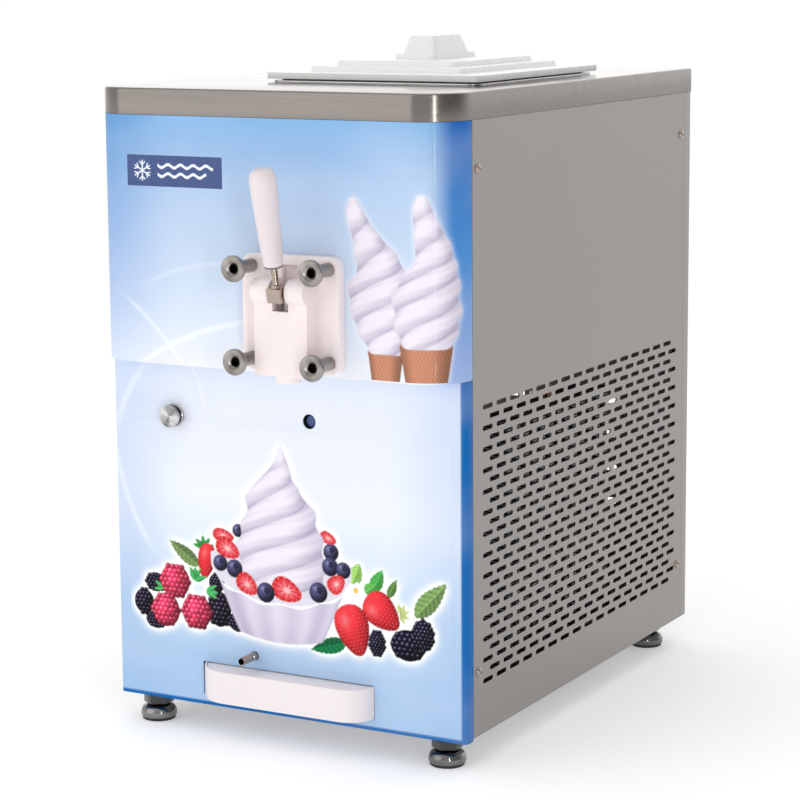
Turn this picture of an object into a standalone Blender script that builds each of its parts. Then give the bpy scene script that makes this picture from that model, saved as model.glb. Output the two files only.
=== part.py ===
"""Countertop soft-serve ice cream maker, as an assembly of separate pieces.

Metres, +Z up. The machine stands on the floor at z = 0, its front looks along -Y, and
the origin is the middle of its footprint. Depths named `back` are measured from the
front face of the bonnet, towards the rear panel.
"""

import math

import bmesh
import bpy
from mathutils import Matrix, Vector

# Driving dimensions of the casing
WIDTH = 0.410
DEPTH = 0.5935
FRONT_Y = -0.2615  # world y of the bonnet's front face
BODY_BOTTOM = 0.032
CAP_BOTTOM = 0.640
CAP_TOP = 0.6665
BONNET_BOTTOM = 0.390
CORNER_RADIUS = 0.045
PANEL_SETBACK = 0.034  # how far the lower panel stands behind the bonnet
FRONT_WRAP = 0.048  # how far the front sheets wrap round the sides
REAR_WRAP = 0.576  # where the rear panel's side flanges begin
SHEET = 0.0015
GAP = 0.0003  # clearance between pieces that touch
HALF = WIDTH / 2

# Freezing cylinder, door and lever, all on one vertical plane right of the centre
AXIS_X = 0.038
AXIS_Z = 0.452
BARREL_RADIUS = 0.050
BARREL_WALL = 0.004
BARREL_END = 0.305
STUD_OFFSET_X = 0.0433
STUD_OFFSET_Z = 0.0455
STUD_RADIUS = 0.005
DOOR_HALF_WIDTH = 0.054
DOOR_BOTTOM = 0.395
DOOR_TOP = 0.509
DOOR_THICK = 0.013
SPOUT_BACK = -0.018
PLUNGER_RADIUS = 0.010
PIVOT_BACK = -0.028
PIVOT_Z = 0.4755
ROLL_RADIUS = 0.012
LEVER_TILT = math.radians(11.7)

# Hopper and its lid
HOPPER_X = 0.038
HOPPER_BACK = 0.291
HOPPER_HALF = (0.105, 0.125)
FEED_BACK = 0.250

# Lower front
BUTTON_X, BUTTON_Z = -0.131, 0.3314
RESET_X, RESET_Z = 0.0295, 0.3374
DRAIN_X, DRAIN_Z = -0.0385, 0.089
TRAY_HALF = 0.101
TRAY_FRONT = 0.008
TRAY_BACK = 0.180
TRAY_BOTTOM = 0.0415
TRAY_TOP = 0.075

# Inside
PAN_TOP = 0.035
SHELF_Z = 0.366
SHELF_THICK = 0.002
MOTOR_X, MOTOR_Z = -0.115, 0.430
PULLEY_BACK = 0.434
FAN_BACK, FAN_Z = 0.330, 0.190
COMPRESSOR_X, COMPRESSOR_BACK = -0.095, 0.440
FOOT_X = 0.172
FOOT_BACKS = (0.055, 0.555)

MATERIALS = {
    "brushed_steel": ((0.47, 0.46, 0.44), 0.32, 1.0),
    "polished_steel": ((0.62, 0.61, 0.59), 0.14, 1.0),
    "blue_print": ((0.30, 0.52, 0.80), 0.25, 0.0),
    "pale_print": ((0.70, 0.80, 0.92), 0.25, 0.0),
    "white_plastic": ((0.86, 0.84, 0.82), 0.38, 0.0),
    "black_rubber": ((0.02, 0.02, 0.02), 0.75, 0.0),
    "zinc_steel": ((0.45, 0.46, 0.47), 0.45, 1.0),
    "foam": ((0.75, 0.70, 0.55), 0.9, 0.0),
    "black_paint": ((0.03, 0.03, 0.035), 0.45, 0.0),
    "grey_paint": ((0.28, 0.31, 0.34), 0.5, 0.0),
    "aluminium": ((0.62, 0.63, 0.64), 0.4, 1.0),
    "copper": ((0.72, 0.36, 0.22), 0.3, 1.0),
    "black_plastic": ((0.03, 0.03, 0.03), 0.5, 0.0),
    "blue_plastic": ((0.42, 0.55, 0.72), 0.35, 0.0),
    "grey_plastic": ((0.55, 0.56, 0.57), 0.5, 0.0),
}


def material(name):
    """The shared Principled material of that name."""
    found = bpy.data.materials.get(name)
    if found:
        return found
    colour, roughness, metallic = MATERIALS[name]
    made = bpy.data.materials.new(name)
    made.use_nodes = True
    shader = made.node_tree.nodes["Principled BSDF"]
    shader.inputs["Base Color"].default_value = (*colour, 1.0)
    shader.inputs["Roughness"].default_value = roughness
    shader.inputs["Metallic"].default_value = metallic
    return made


def y_at(back):
    """World y of a depth measured from the bonnet's front face."""
    return FRONT_Y + back


def new_object(name, bm, finish, centre=(0, 0, 0)):
    """A named object with its own material, with its origin at centre."""
    bmesh.ops.translate(bm, vec=-Vector(centre), verts=bm.verts)
    bmesh.ops.recalc_face_normals(bm, faces=bm.faces)
    mesh = bpy.data.meshes.new(name)
    bm.to_mesh(mesh)
    bm.free()
    made = bpy.data.objects.new(name, mesh)
    made.location = centre
    bpy.context.scene.collection.objects.link(made)
    if finish:
        own = material(finish).copy()
        own.name = f"{name}_{finish}"
        mesh.materials.append(own)
    return made


def smooth(thing, angle=math.radians(35)):
    """Shades a round piece smooth, with its sharp edges kept."""
    thing.data.shade_smooth()
    thing.data.set_sharp_from_angle(angle=angle)
    return thing


def prism(name, outline, axis, start, end, finish):
    """A closed outline in the plane across axis, extruded from start to end.

    The outline's two coordinates are the other two axes, in X, Y, Z order.
    """
    bm = bmesh.new()
    along = "XYZ".index(axis)
    others = [i for i in range(3) if i != along]

    def corner(point, level):
        place = [0.0, 0.0, 0.0]
        place[along] = level
        place[others[0]], place[others[1]] = point
        return bm.verts.new(place)

    low = [corner(p, start) for p in outline]
    high = [corner(p, end) for p in outline]
    bm.faces.new(low)
    bm.faces.new(high)
    for i in range(len(outline)):
        j = (i + 1) % len(outline)
        bm.faces.new((low[i], low[j], high[j], high[i]))
    return new_object(name, bm, finish)


def box(name, low, high, finish):
    """A box between two corners."""
    rectangle = [(low[0], low[1]), (high[0], low[1]), (high[0], high[1]), (low[0], high[1])]
    return prism(name, rectangle, "Z", low[2], high[2], finish)


def turned(name, profile, centre, axis, finish, segments=20):
    """A closed profile of (radius, along) points turned about an axis through centre."""
    bm = bmesh.new()
    rings = []
    for radius, along in profile:
        if radius == 0:
            rings.append([bm.verts.new((0, 0, along))] * segments)
            continue
        ring = []
        for i in range(segments):
            angle = 2 * math.pi * i / segments
            ring.append(bm.verts.new((radius * math.cos(angle), radius * math.sin(angle), along)))
        rings.append(ring)
    for a, b in zip(rings, rings[1:] + rings[:1]):
        for i in range(segments):
            j = (i + 1) % segments
            corners = list(dict.fromkeys((a[i], a[j], b[j], b[i])))
            if len(corners) > 2:
                bm.faces.new(corners)
    if axis == "X":
        bmesh.ops.rotate(bm, verts=bm.verts, matrix=Matrix.Rotation(math.pi / 2, 3, "Y"))
    elif axis == "Y":
        bmesh.ops.rotate(bm, verts=bm.verts, matrix=Matrix.Rotation(-math.pi / 2, 3, "X"))
    bmesh.ops.translate(bm, vec=centre, verts=bm.verts)
    return smooth(new_object(name, bm, finish, centre))


def rod(name, centre, axis, radius, start, end, finish=None, segments=20):
    """A plain round bar about an axis through centre, from start to end along it."""
    profile = [(0, start), (radius, start), (radius, end), (0, end)]
    return turned(name, profile, centre, axis, finish, segments)


def ring(name, centre, axis, outer, inner, start, end, finish, segments=20):
    """A plain tube about an axis through centre."""
    profile = [(inner, start), (outer, start), (outer, end), (inner, end)]
    return turned(name, profile, centre, axis, finish, segments)


def combine(thing, others, operation):
    """Adds or takes away other shapes, which stay in the file as hidden guides."""
    for other in others:
        step = thing.modifiers.new(other.name, "BOOLEAN")
        step.operation = operation
        step.solver = "EXACT"
        step.object = other
        other.hide_render = True
        other.display_type = "WIRE"
    return thing


def cut(thing, *others):
    """Takes the other shapes away."""
    return combine(thing, others, "DIFFERENCE")


def add(thing, *others):
    """Unites the other shapes with this one."""
    return combine(thing, others, "UNION")


def group(name, place, *things):
    """Parents pieces to an empty on their joint's axis."""
    empty = bpy.data.objects.new(name, None)
    empty.location = place
    bpy.context.scene.collection.objects.link(empty)
    for thing in things:
        thing.parent = empty
        thing.matrix_parent_inverse = Matrix.Translation(place).inverted()


def arc(centre, radius, start, end, steps):
    """Points on an arc, angles in degrees."""
    points = []
    for i in range(steps + 1):
        angle = math.radians(start + (end - start) * i / steps)
        points.append((centre[0] + radius * math.cos(angle), centre[1] + radius * math.sin(angle)))
    return points


def front_outline(inset, back, radius=CORNER_RADIUS, steps=6):
    """Plan of a casing with round front corners, drawn in by inset."""
    side, front = HALF - inset, y_at(inset)
    r = radius - inset
    points = arc((side - r, front + r), r, 0, -90, steps)
    points += arc((r - side, front + r), r, -90, -180, steps)
    return points + [(-side, y_at(back)), (side, y_at(back))]


def round_rectangle(low, high, radius, steps=4):
    """A rectangle with four round corners."""
    points = []
    for x, y, start in (
        (high[0], high[1], 0), (low[0], high[1], 90), (low[0], low[1], 180), (high[0], low[1], 270),
    ):
        sign = (1 if x == low[0] else -1, 1 if y == low[1] else -1)
        centre = (x + sign[0] * radius, y + sign[1] * radius)
        points += arc(centre, radius, start, start + 90, steps)
    return points


def smooth_route(points, steps=3):
    """A Catmull-Rom curve through the points."""
    ends = [points[0] * 2 - points[1], *points, points[-1] * 2 - points[-2]]
    route = []
    for a, b, c, d in zip(ends, ends[1:], ends[2:], ends[3:]):
        for i in range(steps):
            t = i / steps
            square = 2 * a - 5 * b + 4 * c - d
            cube = 3 * b - a - 3 * c + d
            route.append(0.5 * (2 * b + (c - a) * t + square * t**2 + cube * t**3))
    return route + [points[-1]]


def pipe(name, points, radius, finish):
    """A bent tube through the points, as a curve with filled ends."""
    curve = bpy.data.curves.new(name, "CURVE")
    curve.dimensions = "3D"
    curve.bevel_depth = radius
    curve.bevel_resolution = 2
    curve.use_fill_caps = True
    route = smooth_route([Vector((x, y_at(back), z)) for x, back, z in points])
    spline = curve.splines.new("POLY")
    spline.points.add(len(route) - 1)
    for point, place in zip(spline.points, route):
        point.co = (*place, 1)
    curve.materials.append(material(finish))
    made = bpy.data.objects.new(name, curve)
    bpy.context.scene.collection.objects.link(made)
    return made


def build_casing():
    """The sheet metal: base pan, panels, bonnet and top cap."""
    pan = box(
        "base_pan",
        (-HALF + SHEET + GAP, y_at(PANEL_SETBACK + SHEET + GAP), 0.033),
        (HALF - SHEET - GAP, y_at(REAR_WRAP - GAP), PAN_TOP),
        "zinc_steel",
    )
    for side in (-1, 1):
        runner = box(
            f"runner_{side}", (side * 0.065 - 0.005, y_at(0.060), 0.034),
            (side * 0.065 + 0.005, y_at(0.190), TRAY_BOTTOM - GAP), None,
        )
        add(pan, runner)
        for n, back in enumerate(FOOT_BACKS):
            hole = rod(f"stem_hole_{side}_{n}", (side * FOOT_X, y_at(back), 0.034), "Z", 0.0056, -0.01, 0.01)
            cut(pan, hole)

    for name, side in (("left_side_panel", -1), ("right_side_panel", 1)):
        outer, inner = sorted((side * HALF, side * (HALF - SHEET)))
        panel = box(
            name, (outer, y_at(FRONT_WRAP + GAP), BODY_BOTTOM),
            (inner, y_at(REAR_WRAP - GAP), CAP_BOTTOM - GAP), "brushed_steel",
        )
        for row in range(5):
            for column in range(3):
                back = 0.082 + column * 0.158
                z = 0.088 + row * 0.056
                window = box(
                    f"{name}_vent_{row}_{column}", (side * HALF - 0.01, y_at(back), z),
                    (side * HALF + 0.01, y_at(back + 0.150), z + 0.044), None,
                )
                cut(panel, window)

    rear = box(
        "rear_panel", (-HALF, y_at(REAR_WRAP), BODY_BOTTOM),
        (HALF, y_at(DEPTH), CAP_BOTTOM - GAP), "brushed_steel",
    )
    hollow = box(
        "rear_panel_hollow", (-HALF + SHEET, y_at(REAR_WRAP - 0.01), 0),
        (HALF - SHEET, y_at(DEPTH - SHEET), 1), None,
    )
    inlet_hole = box(
        "inlet_hole", (-0.135, y_at(DEPTH - 0.01), 0.0685), (-0.105, y_at(DEPTH + 0.01), 0.0915), None
    )
    cut(rear, hollow, inlet_hole)
    for row in range(4):
        z = 0.150 + row * 0.040
        low, high = (-0.120, y_at(DEPTH - 0.01), z), (0.120, y_at(DEPTH + 0.01), z + 0.016)
        slit = box(f"rear_vent_{row}", low, high, None)
        cut(rear, slit)

    skin = front_outline(0, FRONT_WRAP)
    bonnet = smooth(prism("front_bonnet", skin, "Z", BONNET_BOTTOM, CAP_BOTTOM - GAP, "blue_print"))
    inside = prism(
        "bonnet_hollow", front_outline(SHEET, FRONT_WRAP + 0.01), "Z",
        BONNET_BOTTOM + SHEET, CAP_BOTTOM + 0.01, None,
    )
    mouth = box(
        "bonnet_mouth", (AXIS_X - 0.0518, y_at(-0.01), AXIS_Z - 0.053),
        (AXIS_X + 0.0518, y_at(0.01), AXIS_Z + 0.053), None,
    )
    cut(bonnet, inside, mouth)

    lower = box(
        "lower_front_panel", (-HALF, y_at(PANEL_SETBACK), BODY_BOTTOM - 0.0025),
        (HALF, y_at(FRONT_WRAP), BONNET_BOTTOM - GAP), "pale_print",
    )
    hollow = box(
        "lower_panel_hollow", (-HALF + SHEET, y_at(PANEL_SETBACK + SHEET), 0),
        (HALF - SHEET, y_at(FRONT_WRAP + 0.01), 1), None,
    )
    tray_hole = box(
        "tray_hole", (-TRAY_HALF - 0.0015, y_at(0.02), TRAY_BOTTOM - 0.002),
        (TRAY_HALF + 0.0015, y_at(0.04), TRAY_TOP + 0.002), None,
    )
    round_holes = [
        rod(f"{label}_hole", (x, y_at(PANEL_SETBACK), z), "Y", radius, -0.01, 0.01)
        for label, x, z, radius in (
            ("button", BUTTON_X, BUTTON_Z, 0.0086), ("reset", RESET_X, RESET_Z, 0.0075),
            ("drain", DRAIN_X, DRAIN_Z, 0.0046),
        )
    ]
    cut(lower, hollow, tray_hole, *round_holes)

    cap = smooth(prism("top_cap", front_outline(0, DEPTH), "Z", CAP_BOTTOM, CAP_TOP, "brushed_steel"))
    room = front_outline(SHEET, DEPTH - SHEET)
    under = prism("cap_hollow", room, "Z", CAP_BOTTOM - 0.01, CAP_TOP - SHEET, None)
    clear = (HOPPER_HALF[0] + 0.0025, HOPPER_HALF[1] + 0.0025)
    opening = rectangle_block("cap_opening", clear, CAP_BOTTOM - 0.01, CAP_TOP + 0.01, None)
    cut(cap, under, opening)


def build_frame():
    """Corner posts, the mid shelf and the feet."""
    for name, side, back in (
        ("front_left_post", -1, 0.052), ("front_right_post", 1, 0.052),
        ("rear_left_post", -1, 0.553), ("rear_right_post", 1, 0.553),
    ):
        near, far = sorted((side * 0.185, side * 0.201))
        low, high = (near, y_at(back), PAN_TOP + GAP), (far, y_at(back + 0.018), CAP_TOP - SHEET - GAP)
        box(name, low, high, "zinc_steel")
    low, high = (-0.184, y_at(0.056), SHELF_Z), (0.184, y_at(0.572), SHELF_Z + SHELF_THICK)
    shelf = box("mid_shelf", low, high, "zinc_steel")
    for side in (-1, 1):
        for n, back in enumerate(FOOT_BACKS):
            place = (side * FOOT_X, y_at(back), 0)
            profile = [(0, 0), (0.0175, 0), (0.0175, 0.003), (0.019, 0.0035), (0.019, 0.009)]
            profile += [(0.0175, 0.0125), (0.013, 0.0155), (0.005, 0.017), (0.005, 0.050), (0, 0.050)]
            label = ("front", "rear")[n] + ("_left" if side < 0 else "_right")
            foot = turned(f"{label}_foot", profile, place, "Z", "polished_steel", 16)
            group(f"{label}_foot_axis", place, foot)
    cut(shelf, rod("shelf_pipe_hole", (0.090, y_at(0.3115), SHELF_Z), "Z", 0.008, -0.01, 0.01))


def rectangle_block(name, half, low, high, finish):
    """A block centred on the hopper, between two heights."""
    return box(
        name, (HOPPER_X - half[0], y_at(HOPPER_BACK - half[1]), low),
        (HOPPER_X + half[0], y_at(HOPPER_BACK + half[1]), high), finish,
    )


def frustum(name, half_low, half_high, low, high):
    """A block over the hopper whose sides lean in."""
    bm = bmesh.new()
    rings = []
    for half, z in ((half_low, low), (half_high, high)):
        signs = ((-1, -1), (1, -1), (1, 1), (-1, 1))
        corners = [(HOPPER_X + u * half[0], y_at(HOPPER_BACK + v * half[1]), z) for u, v in signs]
        rings.append([bm.verts.new(corner) for corner in corners])
    bm.faces.new(rings[0])
    bm.faces.new(rings[1])
    for i in range(4):
        j = (i + 1) % 4
        bm.faces.new((rings[0][i], rings[0][j], rings[1][j], rings[1][i]))
    return new_object(name, bm, None)


def build_hopper():
    """Mix tank with its flange and outlet, feed tube, gasket and stepped lid."""
    wide, deep = HOPPER_HALF
    flange_bottom = CAP_TOP + GAP
    outside = (wide + 0.002, deep + 0.002)
    hopper = rectangle_block("hopper", outside, 0.550, flange_bottom + 0.001, "brushed_steel")
    flange = rectangle_block("hopper_flange", (0.120, 0.140), flange_bottom, flange_bottom + 0.0012, None)
    outlet_place = (HOPPER_X, y_at(FEED_BACK), 0)
    outlet = rod("hopper_outlet", outlet_place, "Z", 0.013, AXIS_Z + BARREL_RADIUS + GAP, 0.551)
    inside = rectangle_block("hopper_inside", (wide, deep), 0.552, 0.700, None)
    bore = rod("outlet_bore", outlet_place, "Z", 0.0105, 0.490, 0.560)
    add(hopper, flange, outlet)
    cut(hopper, inside, bore)

    tube = ring("mix_feed_tube", outlet_place, "Z", 0.010, 0.0075, 0.530, 0.650, "white_plastic", 16)
    feed_place = (HOPPER_X, y_at(FEED_BACK - 0.010), 0.562)
    cut(tube, rod("feed_hole", feed_place, "Y", 0.003, -0.004, 0.004, None, 8))

    gasket = rectangle_block("lid_gasket", (0.113, 0.133), 0.6683, 0.6697, "grey_plastic")
    cut(gasket, rectangle_block("gasket_inside", (0.1045, 0.1245), 0.660, 0.680, None))

    lid = rectangle_block("hopper_lid", (0.124, 0.144), 0.6700, 0.6765, "white_plastic")
    lip = rectangle_block("lid_lip", (0.1035, 0.1235), 0.656, 0.671, None)
    steps = (((0.092, 0.112), 0.682), ((0.072, 0.092), 0.6875), ((0.026, 0.050), 0.693))
    tiers = [
        rectangle_block(f"lid_tier_{n}", half, 0.672, top, None) for n, (half, top) in enumerate(steps)
    ]
    handle = frustum("lid_handle", (0.021, 0.040), (0.015, 0.032), 0.691, 0.7115)
    add(lid, lip, *tiers, handle)
    cut(lid, rectangle_block("lid_underside", (0.100, 0.120), 0.650, 0.6735, None))
    group("lid_lift", (HOPPER_X, y_at(HOPPER_BACK), 0.670), lid, gasket)


def build_barrel():
    """Freezing cylinder with its insulation, studs, shaft seal and turning beater."""
    axis = (AXIS_X, FRONT_Y, AXIS_Z)
    barrel = rod("freezing_cylinder", axis, "Y", BARREL_RADIUS, 0.001, BARREL_END, "brushed_steel", 32)
    flange = box(
        "barrel_flange", (AXIS_X - 0.051, y_at(GAP), AXIS_Z - 0.052),
        (AXIS_X + 0.051, y_at(0.0053), AXIS_Z + 0.052), None,
    )
    bore = rod("barrel_bore", axis, "Y", BARREL_RADIUS - BARREL_WALL, -0.01, BARREL_END - 0.005, None, 32)
    shaft_hole = rod("shaft_hole", axis, "Y", 0.0103, 0.200, 0.400)
    inlet = rod("barrel_inlet", (AXIS_X, y_at(FEED_BACK), AXIS_Z), "Z", 0.009, 0.030, 0.060, None, 16)
    add(barrel, flange)
    cut(barrel, bore, shaft_hole, inlet)

    foam = box(
        "insulation_jacket", (AXIS_X - 0.080, y_at(0.072), SHELF_Z + SHELF_THICK + GAP),
        (AXIS_X + 0.080, y_at(0.298), 0.532), "foam",
    )
    cut(
        foam, rod("jacket_bore", axis, "Y", BARREL_RADIUS + GAP, -0.1, 0.4, None, 32),
        rod("jacket_inlet", (AXIS_X, y_at(FEED_BACK), AXIS_Z), "Z", 0.0134, 0.030, 0.200),
    )

    seal = [(0.0103, BARREL_END + GAP), (0.022, BARREL_END + GAP), (0.022, 0.309)]
    seal += [(0.0145, 0.316), (0.0103, 0.316)]
    turned("shaft_seal", seal, axis, "Y", "black_rubber")

    number = 0
    for z in (AXIS_Z + STUD_OFFSET_Z, AXIS_Z - STUD_OFFSET_Z):
        for x in (AXIS_X - STUD_OFFSET_X, AXIS_X + STUD_OFFSET_X):
            number += 1
            place = (x, FRONT_Y, z)
            cut(barrel, rod(f"flange_hole_{number}", place, "Y", STUD_RADIUS + GAP, -0.01, 0.02, None, 16))
            rod(f"door_stud_{number}", place, "Y", STUD_RADIUS, -0.038, 0.0053, "polished_steel", 16)

    beater = turned(
        "beater",
        [(0, 0.010), (0.007, 0.012), (0.007, 0.286), (0.016, 0.286), (0.016, 0.299), (0.0103, 0.299),
         (0.0103, 0.291), (0, 0.291)],
        axis, "Y", "white_plastic", 16,
    )
    add(beater, auger_blade("beater_blade", 0.005, 0.0445, 0.014, 0.292, 0.003, 2.5, 30))
    shaft = rod("drive_shaft", axis, "Y", 0.010, 0.2915, 0.341, "polished_steel")
    group("beater_axis", axis, beater, shaft)


def auger_blade(name, inner, outer, start, end, thick, turns, steps):
    """A helical blade round the barrel's axis, between two radii."""
    bm = bmesh.new()
    sections = []
    for i in range(steps + 1):
        angle = 2 * math.pi * turns * i / steps
        along = start + thick + (end - start - 2 * thick) * i / steps
        section = []
        for radius, shift in ((inner, 0), (outer, 0), (outer, thick), (inner, thick)):
            x = AXIS_X + radius * math.cos(angle)
            z = AXIS_Z + radius * math.sin(angle)
            section.append(bm.verts.new((x, y_at(along + shift - thick / 2), z)))
        sections.append(section)
    for a, b in zip(sections, sections[1:]):
        for i in range(4):
            j = (i + 1) % 4
            bm.faces.new((a[i], a[j], b[j], b[i]))
    bm.faces.new(sections[0])
    bm.faces.new(sections[-1])
    return new_object(name, bm, None)


def build_door():
    """White dispensing door with its plunger, lever and hand nuts."""
    plate = round_rectangle(
        (AXIS_X - DOOR_HALF_WIDTH, DOOR_BOTTOM), (AXIS_X + DOOR_HALF_WIDTH, DOOR_TOP), 0.010
    )
    door = smooth(prism("dispensing_door", plate, "Y", y_at(-DOOR_THICK), y_at(-GAP), "white_plastic"))
    pivot = (AXIS_X, y_at(PIVOT_BACK), PIVOT_Z)
    roll_meets_block = math.degrees(math.asin((0.032 + PIVOT_BACK) / ROLL_RADIUS))
    side_view = [(y_at(-0.010), 0.393), (y_at(-0.032), 0.393)]
    side_view += arc(pivot[1:], ROLL_RADIUS, 270 - roll_meets_block, 90, 16)
    side_view += [(y_at(-0.010), PIVOT_Z + ROLL_RADIUS)]
    block = prism("door_block", side_view, "X", AXIS_X - 0.0295, AXIS_X + 0.0295, None)
    spout_place = (AXIS_X, y_at(SPOUT_BACK), 0)
    spout = rod("door_spout", spout_place, "Z", 0.0125, 0.386, 0.398, None, 24)
    add(door, block, spout)

    plunger_bore = rod("plunger_bore", spout_place, "Z", PLUNGER_RADIUS + GAP, 0.380, 0.460)
    slot = box(
        "lever_slot", (AXIS_X - 0.009, y_at(-0.045), PIVOT_Z - 0.019),
        (AXIS_X + 0.009, y_at(-0.0065), 0.500), None,
    )
    pin_hole = rod("pin_hole", pivot, "X", 0.003 + GAP, -0.0225, 0.0225, None, 16)
    port = rod("door_port", (AXIS_X, FRONT_Y, 0.411), "Y", 0.007, -0.018, 0.01, None, 16)
    recess = rod("door_recess", (AXIS_X, FRONT_Y, AXIS_Z), "Y", 0.044, -0.003, 0.01)
    groove = ring("gasket_groove", (AXIS_X, FRONT_Y, AXIS_Z), "Y", 0.0523, 0.0477, -0.003, 0.01, None)
    cut(door, slot, pin_hole, recess, groove, port)
    ring("door_gasket", (AXIS_X, FRONT_Y, AXIS_Z), "Y", 0.052, 0.048, -0.0027, 0, "black_rubber")

    nut_profile = [(STUD_RADIUS + GAP, -0.0133), (0.0068, -0.0133), (0.0068, -0.0435), (0.012, -0.044)]
    nut_profile += [(0.013, -0.045), (0.013, -0.048), (0.012, -0.049), (0.0075, -0.049), (0.0042, -0.0475)]
    nut_profile += [(0.0042, -0.040), (STUD_RADIUS + GAP, -0.040)]
    number = 0
    for z in (AXIS_Z + STUD_OFFSET_Z, AXIS_Z - STUD_OFFSET_Z):
        for x in (AXIS_X - STUD_OFFSET_X, AXIS_X + STUD_OFFSET_X):
            number += 1
            place = (x, FRONT_Y, z)
            cut(door, rod(f"door_hole_{number}", place, "Y", STUD_RADIUS + GAP, -0.02, 0.01, None, 16))
            nut = turned(f"door_nut_{number}", nut_profile[::-1], place, "Y", "polished_steel", 16)
            group(f"door_nut_{number}_axis", place, nut)
    cut(door, plunger_bore)

    plunger_profile = [(0, 0.399), (0.0085, 0.399), (PLUNGER_RADIUS, 0.4005), (PLUNGER_RADIUS, 0.420)]
    plunger_profile += [(0.008, 0.420), (0.008, 0.424), (PLUNGER_RADIUS, 0.424), (PLUNGER_RADIUS, 0.438)]
    plunger_profile += [(0.0032, 0.440), (0.0032, 0.478), (0, 0.478)]
    plunger = turned("draw_plunger", plunger_profile, spout_place, "Z", "white_plastic")
    low, high = (AXIS_X - 0.007, y_at(-0.0213), 0.4765), (AXIS_X + 0.007, y_at(-0.011), 0.480)
    head = box("plunger_head", low, high, None)
    add(plunger, head)
    seal = ring("plunger_ring", spout_place, "Z", 0.0101, 0.0083, 0.4204, 0.4236, "black_rubber")
    group("plunger_slide", (AXIS_X, y_at(SPOUT_BACK), 0.420), plunger, seal)

    rod("lever_pivot_pin", pivot, "X", 0.003, -0.022, 0.022, "polished_steel", 16)
    build_lever(Vector(pivot))


def build_lever(pivot):
    """Steel lever with its tapered grip, built upright at the pivot and then tilted forward."""
    offset = -0.0088  # the rod stands in front of the pivot
    arm = box(
        "lever_arm", pivot + Vector((-0.0075, -0.0163, -0.0065)), pivot + Vector((0.0075, -0.0013, 0.0075)),
        "polished_steel",
    )
    boss = rod("lever_boss", pivot, "X", 0.006, -0.0075, 0.0075)
    stem = rod("lever_stem", pivot + Vector((0, offset, 0)), "Z", 0.0032, 0.005, 0.050, None, 16)
    shoulder = rod("lever_shoulder", pivot + Vector((0, offset, 0)), "Z", 0.0055, 0.0065, 0.0105, None, 6)
    add(arm, boss, stem, shoulder)
    for side in (-1, 1):
        near, far = sorted((side * 0.0042, side * 0.0075))
        low, high = Vector((near, 0.001, -0.0075)), Vector((far, 0.014, -0.0035))
        prong = box(f"lever_prong_{side}", pivot + low, pivot + high, None)
        add(arm, prong)
    cut(arm, rod("lever_pin_hole", pivot, "X", 0.003 + GAP, -0.02, 0.02, None, 16))

    grip_profile = [(0.0035, 0.0285), (0.0085, 0.0285), (0.0100, 0.0300), (0.0118, 0.070), (0.0133, 0.105)]
    grip_profile += [(0.0134, 0.114), (0.0125, 0.120), (0.0100, 0.1236), (0.0055, 0.1250), (0, 0.1252)]
    grip_profile += [(0, 0.052), (0.0035, 0.052)]
    grip = turned("lever_grip", grip_profile, pivot + Vector((0, offset, 0)), "Z", "white_plastic")

    turn = Matrix.Translation(pivot) @ Matrix.Rotation(LEVER_TILT, 4, "X") @ Matrix.Translation(-pivot)
    solids = [arm, grip] + [step.object for step in arm.modifiers]
    for thing in solids:
        thing.matrix_world = turn @ Matrix.Translation(thing.location)
    group("lever_axis", pivot, arm, grip)


def build_lower_front():
    """Drip tray, drain tube, push button with its housing, and reset button."""
    corner = 0.026

    def outline(inset):
        side, front, back = TRAY_HALF - inset, y_at(TRAY_FRONT + inset), y_at(TRAY_BACK - inset)
        r = corner - inset
        points = arc((side - r, front + r), r, 0, -90, 6) + arc((r - side, front + r), r, -90, -180, 6)
        return points + [(-side, back), (side, back)]

    tray = smooth(prism("drip_tray", outline(0), "Z", TRAY_BOTTOM, TRAY_TOP, "white_plastic"))
    cut(tray, prism("tray_hollow", outline(0.0025), "Z", TRAY_BOTTOM + 0.0025, TRAY_TOP + 0.01, None))
    group("tray_slide", (0, y_at(TRAY_FRONT), TRAY_BOTTOM), tray)

    drain = [(0.0034, 0.008), (0.0038, 0.008)]
    for barb in range(3):
        end = 0.0105 + barb * 0.0055
        drain += [(0.0043, end), (0.0036, end + 0.0003)]
    drain += [(0.0043, 0.027), (0.0043, 0.060), (0.0034, 0.060)]
    turned("drain_tube", drain, (DRAIN_X, FRONT_Y, DRAIN_Z), "Y", "polished_steel", 16)

    place = (BUTTON_X, FRONT_Y, BUTTON_Z)
    button = [(0, 0.0234), (0.0108, 0.0234), (0.0115, 0.0241), (0.0115, 0.0272)]
    button += [(0.0075, 0.0275), (0.0075, 0.052), (0, 0.052)]
    cap = turned("push_button", button, place, "Y", "polished_steel")
    group("push_button_slide", place, cap)
    housing = [(0.0080, 0.0308), (0.0120, 0.0308), (0.0120, 0.0337), (0.0083, 0.0337)]
    housing += [(0.0083, 0.0358), (0.0120, 0.0358), (0.0120, 0.0590), (0.0080, 0.0590)]
    turned("button_housing", housing, place, "Y", "polished_steel")

    place = (RESET_X, FRONT_Y, RESET_Z)
    reset = [(0, 0.0380), (0.0052, 0.0380), (0.0062, 0.0392), (0.0062, 0.0480)]
    reset += [(0.0040, 0.0480), (0.0040, 0.0570), (0, 0.0570)]
    knob = turned("reset_button", reset, place, "Y", "blue_plastic")
    group("reset_button_slide", place, knob)


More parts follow.
